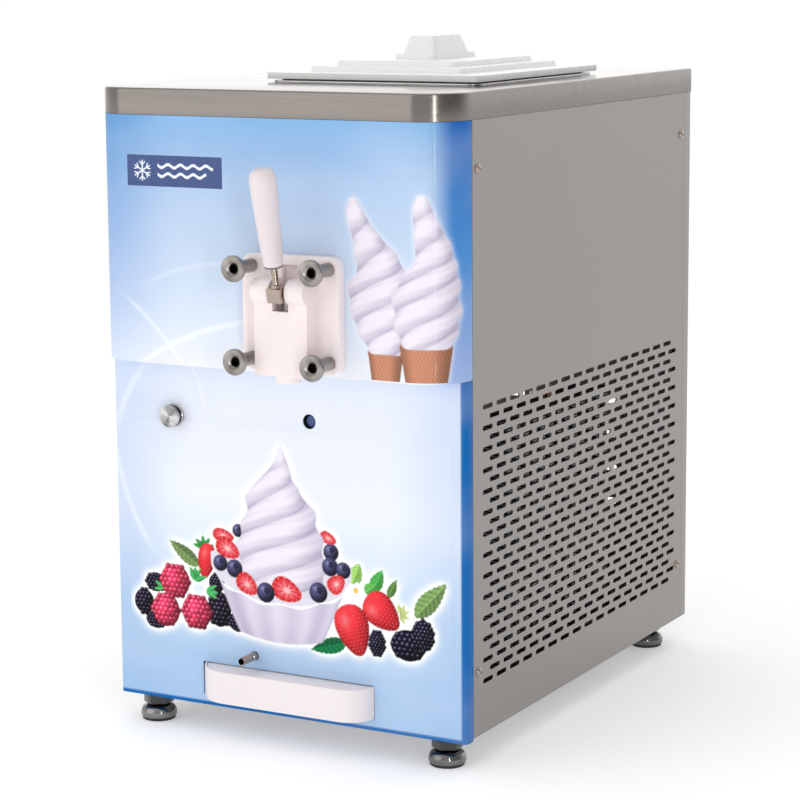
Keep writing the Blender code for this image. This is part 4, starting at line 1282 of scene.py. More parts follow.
@dataclass
class LowerFittings:
    """Push button, reset button, drain tube, drip tray and the four feet."""

    tray_corners: tuple[float, float] = (0.040, 0.028)
    tray_wall: float = 0.0025

    def button(self) -> None:
        """Makes the spun push button in its housing."""
        x, z = BUTTON
        profile = [
            (0, 0.0240), (0.0070, 0.0240), (0.0074, 0.0238), (0.0106, 0.0236), (0.0112, 0.0238),
            (0.0115, 0.0243),
            (0.0115, 0.0268), (0.0112, 0.0272), (0.0079, 0.0274), (0.0075, 0.0276), (0.0075, 0.0520),
            (0, 0.0520),
        ]
        button = turned("spun_button", profile, (x, FRONT, z), ALONG_Y, 48)
        soften(button, 0.0, angle=25)
        # The button's steel has strong painted reflection fans by angle round its middle.
        install(
            button, "button",
            [TurnedSteel("button_steel", Axis.Y, (x, FRONT, z), (0.72, 0.71, 0.70), 0.18, 0.75)],
            ["push_button"]
        )
        ring = [
            (0.0080, 0.0312), (0.0083, 0.0308), (0.0114, 0.0308), (0.0120, 0.0313), (0.0120, 0.0337),
            (0.0083, 0.0337),
            (0.0083, 0.0358), (0.0120, 0.0358), (0.0120, 0.0590), (0.0080, 0.0590),
        ]
        housing = turned("button_bezel", ring, (x, FRONT, z), ALONG_Y, 48)
        soften(housing, 0.0)
        install(housing, "chassis", [CHROME], ["button_housing"])

    def reset(self) -> None:
        """Makes the small recessed reset button."""
        profile = [
            (0, 0.0380), (0.0046, 0.0380), (0.0056, 0.0384), (0.0062, 0.0392), (0.0062, 0.0480),
            (0.0040, 0.0480), (0.0040, 0.0570), (0, 0.0570),
        ]
        button = turned("dished_reset_button", profile, (RESET[0], FRONT, RESET[1]), ALONG_Y, 32)
        soften(button, 0.0)
        install(button, "reset", [BLUE_PLASTIC], ["reset_button"])

    def drain(self) -> None:
        """Makes the barbed drain tube."""
        profile = [(0.0034, 0.008), (0.0036, 0.008)]
        for barb in range(3):
            end = 0.0105 + barb * 0.0055
            profile += [(0.0042, end - 0.0004), (0.0043, end), (0.0036, end + 0.0004)]
        profile += [(0.0036, 0.0264), (0.0043, 0.0270), (0.0043, 0.0600), (0.0034, 0.0600)]
        tube = turned("barbed_drain_tube", profile, (DRAIN[0], FRONT, DRAIN[1]), ALONG_Y, 32)
        soften(tube, 0.0)
        install(tube, "chassis", [FORGED_STEEL], ["drain_tube"])

    def _front_corners(self, work: Edit, front: float, inside: float) -> None:
        """Rounds the tray's left and right front corners.

        Args:
            work: Edit mode on the piece.
            front: Where the piece's front is.
            inside: How far the piece lies inside the tray's outline.
        """
        for side, radius in zip((-1, 1), self.tray_corners):
            work.edges(lambda a, b, side=side: upright_edge(a, b) and a.y < front + 1e-5 and a.x * side > 0)
            work.bevel(radius - inside, 12)

    def tray(self) -> None:
        """Makes the drip tray with round front corners and a soft rim."""
        low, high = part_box("drip_tray")
        tray = block("moulded_drip_tray", low, high)
        with Edit(tray) as work:
            self._front_corners(work, low.y, 0.0)
            work.faces(lambda face: face.normal.z > 0.9)
            work.inset(self.tray_wall)
            work.extrude((0, 0, self.tray_wall - (high.z - low.z)))
            work.tidy()
        soften(tray, 0.0009, 3)
        install(tray, "tray", [WHITE], ["drip_tray"])
        self.splash_plate(low, high)

    def splash_plate(self, low: Vector, high: Vector) -> None:
        """Makes the loose slotted plate that lies in the tray.

        Args:
            low: The tray's lowest corner.
            high: The tray's highest corner.
        """
        inside = self.tray_wall + 0.0003
        plate = block(
            "splash_plate", (low.x + inside, low.y + inside, high.z - 0.0030),
            (high.x - inside, high.y - inside, high.z - 0.0007)
        )
        with Edit(plate) as work:
            self._front_corners(work, low.y + inside, inside)
        for number in range(9):
            x = (number - 4) * 0.020
            subtract(plate, round_block(
                "plate_cutter", (x - 0.003, low.y + 0.055, low.z), (x + 0.003, high.y - 0.020, high.z + 0.01),
                0.0029, 5
            ))
        soften(plate, 0.0004)
        install(plate, "tray", [WHITE])

    def feet(self) -> None:
        """Turns one foot and copies it to the four corners."""
        profile = [
            (0, 0.0), (0.0168, 0.0), (0.0175, 0.0007), (0.0175, 0.0030), (0.0184, 0.0033), (0.0190, 0.0042),
            (0.0190, 0.0082), (0.0187, 0.0094),
            (0.0175, 0.0125), (0.0158, 0.0142), (0.0130, 0.0155), (0.0085, 0.0165), (0.0055, 0.0172),
            (0.0050, 0.0180), (0.0050, 0.0500), (0, 0.0500),
        ]
        x0, back0 = FOOT_SPOTS["front_left"]
        foot = turned("front_left_cup_foot", profile, (x0, FRONT + back0, 0), sides=48)
        soften(foot, 0.0, angle=35)
        for corner, (x, back) in FOOT_SPOTS.items():
            piece = foot if corner == "front_left" else copied(
                foot, f"{corner}_cup_foot", (x - x0, back - back0, 0)
            )
            install(piece, f"{corner}_leveller", [SHADED_FOOT_CHROME, RUBBER], [f"{corner}_foot"])
            for face in piece.data.polygons:
                face.material_index = 1 if face.center.z < 0.0031 else 0

    def lock_nuts(self) -> None:
        """Makes one black six-sided lock nut and copies it above each foot."""
        x0, back0 = FOOT_SPOTS["front_left"]
        profile = [
            (0.0052, 0.0172), (0.0150, 0.0172), (0.0158, 0.0180), (0.0158, 0.0268), (0.0148, 0.0280),
            (0.0052, 0.0280)
        ]
        nut = turned("front_left_lock_nut", profile, (x0, FRONT + back0, 0), sides=6)
        soften(nut, 0.0005)
        for corner, (x, back) in FOOT_SPOTS.items():
            piece = nut if corner == "front_left" else copied(
                nut, f"{corner}_lock_nut", (x - x0, back - back0, 0)
            )
            install(piece, f"{corner}_leveller", [BLACK_PAINT])

    def build(self) -> None:
        """Builds the fittings of the lower front and the feet."""
        self.lock_nuts()
        self.button()
        self.reset()
        self.drain()
        self.tray()
        self.feet()


# ---------------------------------------------------------------- inside


@dataclass
class Works:
    """The pieces inside, which keep the frame's shapes, and the inlet with its pins."""

    pin: tuple[float, float] = (0.0022, 0.0060)

    def finishes(self) -> dict[str, object]:
        """Pairs each frame node that stays with its finish."""
        steel = TurnedSteel("shaft_steel", Axis.Y, (DOOR_X, 0, AXIS_Z))
        cylinder = TurnedSteel("cylinder_steel", Axis.Y, (DOOR_X, 0, AXIS_Z), (0.62, 0.61, 0.60), 0.28)
        return {
            "base_pan": ZINC, "mid_shelf": ZINC, "front_left_post": ZINC, "front_right_post": ZINC,
            "rear_left_post": ZINC,
            "rear_right_post": ZINC, "freezing_cylinder": cylinder, "insulation_jacket": FOAM,
            "beater": CHROME,
            "drive_shaft": steel, "shaft_seal": RUBBER, "door_gasket": RUBBER, "draw_plunger": MILKY,
            "plunger_ring": RUBBER,
            "lever_pivot_pin": CHROME, "door_stud_1": STUD_STEEL_AND_BORE_SHADE, "door_stud_2": STUD_STEEL_AND_BORE_SHADE,
            "door_stud_3": STUD_STEEL_AND_BORE_SHADE, "door_stud_4": STUD_STEEL_AND_BORE_SHADE,
            "gearbox": CAST, "gearbox_pulley": CAST, "motor_pulley": CAST, "drive_belt": RUBBER,
            "drive_motor": GREY_PAINT,
            "compressor": BLACK_PAINT, "condenser": Finned("condenser_fins", Axis.Z, 0.0036),
            "fan_shroud": BLACK_PAINT,
            "fan_blade": CAST, "fan_motor": BLACK_PAINT, "filter_drier": COPPER, "discharge_pipe": COPPER,
            "suction_pipe": COPPER, "control_box": GREY_PAINT,
        }

    def inlet(self) -> None:
        """Makes the power inlet and its three pins."""
        inlet = refined("power_inlet", "moulded_inlet", 0.0005)
        install(inlet, "chassis", [BLACK_PLASTIC], ["power_inlet"])
        wide, high = self.pin
        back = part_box("power_inlet")[1].y
        low = (-0.127 - wide / 2, back - 0.0180, 0.078 - high / 2)
        pin = round_block("inlet_pin_1", low, (low[0] + wide, back - 0.0040, low[2] + high), 0.0004, 2)
        soften(pin, 0.0003)
        for number, move in ((2, (0.007, 0, 0.0035)), (3, (0.014, 0, 0))):
            install(copied(pin, f"inlet_pin_{number}", move), "chassis", [BRASS])
        install(pin, "chassis", [BRASS])

    def build(self) -> None:
        """Dresses the inner pieces and makes the inlet."""
        for node, finish in self.finishes().items():
            SHOP.dress(NODES[node], finish)
            LOG.info("%s keeps its shape", node)
        self.inlet()


# ---------------------------------------------------------------- prints


def smooth(value: np.ndarray, start: float, end: float) -> np.ndarray:
    """Rises softly from nought at start to one at end."""
    part = np.clip((value - start) / (end - start), 0, 1)
    return part * part * (3 - 2 * part)


def shade(colour: Sequence[float]) -> np.ndarray:
    """Turns a display colour of 0 to 255 into one of 0 to 1."""
    return np.array(colour, float) / 255


class Canvas:
    """A picture painted shape by shape, in millimetres across and up the sheet."""

    def __init__(self, left: float, right: float, bottom: float, top: float, step: float = 0.5) -> None:
        """Takes the picture's four edges and the distance between its points."""
        self.left, self.bottom, self.step = left, bottom, step
        columns, rows = (int(round((far - near) / step)) + 1 for near, far in ((left, right), (bottom, top)))
        self.x, self.z = np.meshgrid(left + step * np.arange(columns), bottom + step * np.arange(rows))
        self.colour = np.ones((rows, columns, 3))
        self.cover = np.zeros((rows, columns))
        self.random = np.random.default_rng(7)

    def window(self, x: float, z: float, reach: float) -> tuple[slice, slice]:
        """Finds the rows and columns within a reach of a point."""
        spans = []
        for middle, near, count in ((z, self.bottom, self.x.shape[0]), (x, self.left, self.x.shape[1])):
            start = int(np.clip((middle - reach - near) / self.step, 0, count))
            stop = int(np.clip((middle + reach - near) / self.step + 2, 0, count))
            spans.append(slice(start, stop))
        return spans[0], spans[1]

    def lay(self, area: tuple[slice, slice], mask: np.ndarray, colour: np.ndarray) -> None:
        """Lays a colour over part of the picture.

        Args:
            area: Rows and columns that it touches.
            mask: How much it covers, from 0 to 1.
            colour: One colour, or one for each point.
        """
        mask = np.clip(mask, 0, 1)
        self.colour[area] += (np.broadcast_to(colour, (*mask.shape, 3)) - self.colour[area]) * mask[..., None]
        self.cover[area] += (1 - self.cover[area]) * mask

    def solid(self, gap: np.ndarray, blur: float = 0.5) -> np.ndarray:
        """Fills where the gap to a shape's edge, in millimetres, is below nought."""
        return np.clip(0.5 - gap / blur, 0, 1)

    def ball(
        self, x: float, z: float, radius: float, base: Sequence[float], gloss: float = 0.5, dim: float = 0.42
    ) -> None:
        """Paints a round shape lit from the upper left.

        Args:
            x: Its middle across.
            z: Its middle up.
            radius: Its radius.
            base: Its colour.
            gloss: Strength of its highlight.
            dim: Share of its colour that is left on its dark side.
        """
        area = self.window(x, z, radius + 1)
        u, v = (self.x[area] - x) / radius, (self.z[area] - z) / radius
        far = np.sqrt(u * u + v * v)
        depth = np.sqrt(np.clip(1 - far * far, 0, 1))
        light = np.clip(-0.42 * u + 0.55 * v + 0.72 * depth, 0, 1)
        tone = shade(base) * (dim + (1.17 - dim) * light[..., None])
        shine = np.exp(-(((u + 0.34) / 0.26) ** 2 + ((v - 0.38) / 0.22) ** 2)) * gloss
        tone = np.clip(tone + shine[..., None], 0, 1)
        self.lay(area, self.solid((far - 1) * radius), tone)

    def blueberry(self, x: float, z: float, radius: float) -> None:
        """Paints a blueberry with its pale bloom and dark crown."""
        self.ball(x, z, radius, (66, 64, 100), 0.30)
        area = self.window(x, z, radius)
        u, v = (self.x[area] - x) / radius, (self.z[area] - z) / radius
        bloom = np.exp(-(((u + 0.25) / 0.5) ** 2 + ((v - 0.1) / 0.45) ** 2)) * 0.45
        self.lay(area, bloom * (u * u + v * v < 0.8), shade((112, 116, 160)))
        crown = np.hypot(u - 0.12, v - 0.22)
        points = 0.30 + 0.07 * np.cos(5 * np.arctan2(v - 0.22, u - 0.12))
        self.lay(area, self.solid((crown - points) * radius) * 0.85, shade((24, 22, 40)))
        self.lay(area, self.solid((crown - 0.13) * radius) * 0.5, shade((86, 84, 120)))

    def cluster(
        self, x: float, z: float, wide: float, tall: float, base: Sequence[float], gloss: float, dim: float,
        fine: float
    ) -> None:
        """Paints a berry made of many small beads.

        Args:
            x: Its middle across.
            z: Its middle up.
            wide: Half its width.
            tall: Half its height.
            base: Colour of the beads.
            gloss: Strength of their highlights.
            dim: Share of their colour that is left on their dark side.
            fine: Radius of a bead as a share of the berry's half width.
        """
        bead = min(wide, tall) * fine
        area = self.window(x, z, max(wide, tall) + 2)
        far = np.hypot((self.x[area] - x) / wide, (self.z[area] - z) / tall)
        self.lay(area, self.solid((far - 0.94) * min(wide, tall)), shade(base) * (dim * 0.9))
        spots = []
        rows = int(tall / (bead * 0.82)) + 1
        for row in range(-rows, rows + 1):
            up = row * bead * 1.55
            columns = int(wide / (bead * 0.85)) + 1
            for column in range(-columns, columns + 1):
                across = (column + 0.5 * (row % 2)) * bead * 1.75
                reach = math.hypot(across / (wide - bead * 0.7), up / (tall - bead * 0.7))
                if reach <= 1.02:
                    spots.append((reach, across, up))
        for reach, across, up in sorted(spots, reverse=True):
            drift = self.random.uniform(-0.12, 0.12, 2) * bead
            tint = self.random.uniform(0.85, 1.12)
            side = 1 - 0.30 * max(across / wide, -0.2) + 0.12 * up / tall
            bright = tint * side * (1.05 - 0.35 * reach**3)
            self.ball(
                x + across + drift[0], z + up + drift[1], bead * 1.14, [part * bright for part in base],
                gloss, dim
            )

    def strawberry(self, x: float, z: float, wide: float, tall: float, turn: float = 0.0) -> None:
        """Paints a strawberry with its seeds, its tip pointing down before it is turned.

        Args:
            x: Its middle across.
            z: Its middle up.
            wide: Half its width.
            tall: Half its height.
            turn: Its turn, in degrees.
        """
        area = self.window(x, z, max(wide, tall) + 2)
        cos, sin = math.cos(math.radians(turn)), math.sin(math.radians(turn))
        dx, dz = self.x[area] - x, self.z[area] - z
        u, v = (dx * cos + dz * sin) / wide, (dz * cos - dx * sin) / tall
        width = np.sqrt(np.clip(1 - v * v, 1e-6, 1)) * (0.86 + 0.26 * v)
        width = np.where(np.abs(v) < 1, width, 0.001)
        gap = np.maximum((np.abs(u) / width - 1) * wide * np.clip(width, 0.25, 1), (np.abs(v) - 1) * tall)
        round_part = np.sqrt(np.clip(1 - (u / np.maximum(width, 0.05)) ** 2, 0, 1))
        light = np.clip(0.25 + 0.62 * round_part - 0.28 * (dx / wide) + 0.24 * (dz / tall), 0, 1.15)
        red = shade((168, 12, 34)) + (
            shade((244, 50, 66)) - shade((168, 12, 34))
        ) * np.clip(light, 0, 1)[..., None]
        red = red * (0.60 + 0.48 * np.clip(light, 0, 1))[..., None]
        mask = self.solid(gap)
        self.lay(area, mask, np.clip(red, 0, 1))
        shine = np.exp(-(((u + 0.30) / 0.26) ** 2 + ((v - 0.42) / 0.30) ** 2)) * 0.45
        self.lay(area, shine * mask, shade((255, 196, 190)))
        pitch = 4.2
        lane, rung = (u * wide) / pitch, (v * tall) / (pitch * 0.86)
        step = np.floor(rung + 0.5)
        offset = lane + 0.5 * (step % 2)
        seed_u = (offset - np.floor(offset + 0.5)) * pitch
        seed_v = (rung - step) * pitch * 0.86
        seed = np.hypot(seed_u / 0.48, seed_v / 0.78)
        self.lay(area, self.solid((seed - 1.75) * 0.6, 0.8) * mask * 0.55, shade((140, 8, 26)))
        self.lay(area, self.solid((seed - 1.0) * 0.6, 0.6) * mask * 0.75, shade((246, 176, 112)))

    def slice(self, x: float, z: float, wide: float, tall: float, turn: float) -> None:
        """Paints a cut strawberry, pale inside its red rim.

        Args:
            x: Its middle across.
            z: Its middle up.
            wide: Half its width.
            tall: Half its height.
            turn: Its turn, in degrees.
        """
        area = self.window(x, z, max(wide, tall) + 2)
        cos, sin = math.cos(math.radians(turn)), math.sin(math.radians(turn))
        dx, dz = self.x[area] - x, self.z[area] - z
        u, v = (dx * cos + dz * sin) / wide, (dz * cos - dx * sin) / tall
        far = np.sqrt(u * u + (v * (1 + 0.25 * u)) ** 2)
        self.lay(area, self.solid((far - 1) * min(wide, tall)), shade((206, 30, 48)))
        veins = 0.5 + 0.5 * np.cos(9 * np.arctan2(v, u))
        flesh = shade((224, 58, 72)) + (
            shade((246, 158, 158)) - shade((224, 58, 72))
        ) * (veins * smooth(far, 0.9, 0.3))[..., None]
        self.lay(area, smooth(far, 0.86, 0.74), flesh)
        self.lay(area, smooth(far, 0.36, 0.14) * 0.8, shade((250, 210, 206)))
        seed = np.cos(13 * np.arctan2(v, u)) * smooth(np.abs(far - 0.9), 0.08, 0.02)
        self.lay(area, np.clip(seed, 0, 1) * 0.8, shade((246, 190, 120)))

    def leaf(
        self, start: tuple[float, float], end: tuple[float, float], wide: float, base: Sequence[float]
    ) -> None:
        """Paints a toothed leaf with a midrib and side veins.

        Args:
            start: The stalk's end, across and up.
            end: The tip, across and up.
            wide: Half its width.
            base: Its colour.
        """
        length = math.hypot(end[0] - start[0], end[1] - start[1])
        middle = ((start[0] + end[0]) / 2, (start[1] + end[1]) / 2)
        area = self.window(*middle, length / 2 + wide)
        along_x, along_z = (end[0] - start[0]) / length, (end[1] - start[1]) / length
        dx, dz = self.x[area] - start[0], self.z[area] - start[1]
        along = (dx * along_x + dz * along_z) / length
        across = dz * along_x - dx * along_z
        held = np.clip(along, 0.001, 1)
        width = wide * np.sin(math.pi * held**0.72) ** 0.85
        teeth = 0.09 * wide * np.abs(np.sin(held * length / 1.7))
        gap = np.where((along > 0) & (along < 1), np.abs(across) - width + teeth, 9.0)
        ribs = np.abs(((np.abs(across) * 0.75 + along * length) / (length / 8)) % 1 - 0.5)
        tone = shade(base) * (0.82 + 0.30 * smooth(ribs, 0.06, 0.22) + 0.10 * np.sign(across))[..., None]
        mask = self.solid(gap)
        self.lay(area, mask, np.clip(tone, 0, 1))
        self.lay(area, smooth(np.abs(across), 0.7, 0.15) * mask * 0.6, np.clip(shade(base) * 1.6, 0, 1))
        self.lay(area, smooth(ribs, 0.05, 0.0) * mask * 0.3, np.clip(shade(base) * 1.5, 0, 1))

    def tuft(self, x: float, z: float, reach: float, turns: Sequence[float], base: Sequence[float]) -> None:
        """Paints a fan of small leaves, each at its own angle in degrees."""
        for turn in turns:
            tip = (x + reach * math.cos(math.radians(turn)), z + reach * math.sin(math.radians(turn)))
            self.leaf((x, z), tip, reach * 0.20, base)

    def flower(self, x: float, z: float, radius: float) -> None:
        """Paints a small white flower."""
        area = self.window(x, z, radius + 1)
        u, v = self.x[area] - x, self.z[area] - z
        far, turn = np.hypot(u, v), np.arctan2(v, u)
        edge = radius * (0.70 + 0.30 * np.abs(np.cos(2.5 * turn)))
        tone = shade((255, 255, 255)) - 0.10 * smooth(np.abs(np.cos(2.5 * turn)), 0.3, 0.0)[..., None]
        self.lay(area, self.solid(far - edge), tone)
        self.lay(area, self.solid(far - radius * 0.30), shade((242, 196, 60)))

    def heap(
        self, outline: Sequence[tuple[float, float, float]], pitch: float, lean: float, start: float
    ) -> None:
        """Paints a twist of soft ice cream with folds that climb to the right.

        Args:
            outline: Heights with the left and right edge at each, from the foot up.
            pitch: Height from one fold to the next.
            lean: How many folds it climbs from its middle to its edge.
            start: Share of a fold at the foot.
        """
        rows = np.array(outline, float)
        foot, head = rows[0, 0], rows[-1, 0]
        middle = (rows[:, 1].min() + rows[:, 2].max()) / 2
        area = self.window(
            middle, (foot + head) / 2, max(head - foot, rows[:, 2].max() - rows[:, 1].min()) / 2 + 3
        )
        x, z = self.x[area], self.z[area]
        knots = np.linspace(foot, head, 60)
        kernel = np.ones(5) / 5
        edges = []
        for column in (1, 2):
            raw = np.interp(knots, rows[:, 0], rows[:, column])
            rounded = np.convolve(np.pad(raw, 2, mode="edge"), kernel, mode="valid")
            edges.append(np.interp(z, knots, rounded))
        half = np.maximum((edges[1] - edges[0]) / 2, 0.3)
        u = (x - (edges[0] + edges[1]) / 2) / half
        held = np.clip(u, -1, 1)
        rise = (z - foot) / pitch + start
        turns = rise - lean * (held + 0.35 * held**3) * np.clip(half / 30, 0.25, 1)
        side = np.sign(held) * lean * 1.35 * np.clip(half / 30, 0.25, 1)
        bulge = 0.055 * np.cos(2 * math.pi * (rise - side - 0.55)) * smooth(half, 6.0, 20.0)
        fold = turns - np.floor(turns)
        round_part = np.sqrt(np.clip(1 - held * held, 0, 1))
        light = 0.34 + 0.56 * smooth(fold, 0.0, 0.55) - 0.22 * smooth(fold, 0.72, 1.0)
        light = light * smooth(half, 2.0, 14.0) + 0.86 * (1 - smooth(half, 2.0, 14.0))
        fine = turns * 3 + 0.9 * held + 0.3 * np.sin(turns * 2.2)
        light = light + 0.13 * (np.cos(2 * math.pi * fine) * 0.5) * smooth(half, 5.0, 18.0)
        light = light + 0.16 * round_part - 0.34 * smooth(held, 0.10, 0.98) - 0.10 * smooth(held, -0.6, -1.0)
        crease = smooth(np.minimum(fold, 1 - fold), 0.055, 0.0) * smooth(half, 8.0, 20.0)
        light = light - 0.26 * crease * (0.4 + 0.6 * np.sin(held * 2.4 + turns) ** 2)
        light = np.clip(light, 0, 1)[..., None]
        tone = shade((170, 162, 188)) + (shade((240, 235, 245)) - shade((170, 162, 188))) * light
        base_curve = foot - 5 * round_part
        within = np.maximum(base_curve - z, z - head)
        self.lay(area, self.solid(np.maximum((np.abs(u) - 1 - bulge) * half, within), 0.9), tone)

    def bowl(self, x: float, rim: float, half: float, foot: float, foot_half: float) -> None:
        """Paints a fluted white bowl.

        Args:
            x: Its middle across.
            rim: Height of the rim's two ends.
            half: Half its width at the rim.
            foot: Height of its foot.
            foot_half: Half its width at the foot.
        """
        area = self.window(x, (rim + foot) / 2, half + 6)
        dx, z = self.x[area] - x, self.z[area]
        u = np.clip(dx / half, -1, 1)
        dip = rim - 46 * np.sqrt(1 - u * u) ** 0.8
        lip = dip + 1.8 * np.cos(11 * np.arcsin(u * 0.98))
        back = rim + 7 * np.sqrt(1 - u * u)
        self.lay(
            area, self.solid(np.maximum(z - back, dip - z)) * (np.abs(dx) < half), shade((226, 222, 234))
        )
        rise = np.clip((z - foot) / (rim - foot), 0, 1)
        width = foot_half + (half - foot_half) * rise**0.82
        base = foot + 5.5 * np.clip(dx / foot_half, -1.2, 1.2) ** 2
        side = np.clip(dx / width, -1, 1)
        flute = np.cos(11 * np.arcsin(side * 0.98) + 0.6)
        light = 0.88 + 0.13 * flute - 0.22 * smooth(side, 0.2, 1.0) - 0.34 * smooth(
            side, -0.45, -1.0
        ) - 0.12 * smooth(rise, 0.35, 0.0)
        tone = shade((164, 156, 184)) + (
            shade((228, 221, 237)) - shade((164, 156, 184))
        ) * np.clip(light, 0, 1)[..., None]
        gap = np.maximum(np.maximum(np.abs(dx) - width, base - z), z - lip)
        self.lay(area, self.solid(gap, 0.8), tone)
        edge = smooth(np.abs(z - lip + 1.1), 1.3, 0.3) * (np.abs(dx) < half)
        self.lay(area, edge, shade((255, 255, 255)))

    def wafer(self, left: float, right: float, top: float, bottom: float, narrow: float) -> None:
        """Paints a wafer cup with a fine slanting lattice.

        Args:
            left: Its left edge at the top.
            right: Its right edge at the top.
            top: Its top.
            bottom: Its bottom.
            narrow: How much each side comes in at the bottom.
        """
        x, half = (left + right) / 2, (right - left) / 2
        area = self.window(x, (top + bottom) / 2, half + 8)
        dx, z = self.x[area] - x, self.z[area]
        width = half - narrow * np.clip((top - z) / (top - bottom), 0, 1)
        side = np.clip(dx / width, -1, 1)
        light = 1.02 - 0.30 * smooth(side, 0.1, 1.0) - 0.22 * smooth(side, -0.5, -1.0)
        lattice = np.maximum(np.cos((dx + z * 0.55) * 1.55), np.cos((dx - z * 0.55) * 1.55))
        tone = shade((206, 142, 112)) * (light - 0.10 * smooth(lattice, 0.55, 1.0))[..., None]
        rim = 2.2 * np.cos(dx * 0.55)
        self.lay(area, self.solid(np.maximum(np.abs(dx) - width, z - top - rim), 0.8), np.clip(tone, 0, 1))

    def halo(self, reach: float, colour: Sequence[float], strength: float) -> None:
        """Spreads a glow round all that is painted so far.

        Args:
            reach: How far it spreads.
            colour: Its colour.
            strength: How much it covers at most.
        """
        glow = self.cover.copy()
        size = max(int(reach / self.step / 2), 1)
        kernel = np.ones(2 * size + 1) / (2 * size + 1)
        for _ in range(3):
            for axis in (0, 1):
                glow = np.apply_along_axis(np.convolve, axis, glow, kernel, mode="same")
        glow = np.clip(glow * 2.6, 0, 1) * strength
        share = self.cover[..., None]
        self.colour = self.colour * share + shade(colour) * (1 - share)
        self.cover = np.maximum(self.cover, glow)

    def paint(self, piece: bpy.types.Object, across: Callable[[np.ndarray], np.ndarray]) -> None:
        """Gives a fine mesh the picture's colour and cover at each point.

        Args:
            piece: The mesh.
            across: Turns the mesh's points into millimetres across the sheet.
        """
        count = len(piece.data.vertices)
        points = np.zeros(count * 3, np.float32)
        piece.data.vertices.foreach_get("co", points)
        points = points.reshape(-1, 3).astype(float)
        column = np.clip((across(points) - self.left) / self.step, 0, self.x.shape[1] - 1.001)
        row = np.clip((points[:, 2] * 1000 - self.bottom) / self.step, 0, self.x.shape[0] - 1.001)
        whole_column, whole_row = column.astype(int), row.astype(int)
        part_column, part_row = (column - whole_column)[:, None], (row - whole_row)[:, None]
        picture = np.dstack(
            [
                np.where(self.colour <= 0.04045, self.colour / 12.92, ((self.colour + 0.055) / 1.055) ** 2.4),
                self.cover
            ]
        )
        near = picture[whole_row, whole_column] * (1 - part_column) + picture[
            whole_row, whole_column + 1
        ] * part_column
        far = picture[whole_row + 1, whole_column] * (1 - part_column) + picture[
            whole_row + 1, whole_column + 1
        ] * part_column
        values = near * (1 - part_row) + far * part_row
        attribute = piece.data.color_attributes.new("print", "FLOAT_COLOR", "POINT")
        attribute.data.foreach_set("color", values.astype(np.float32).ravel())


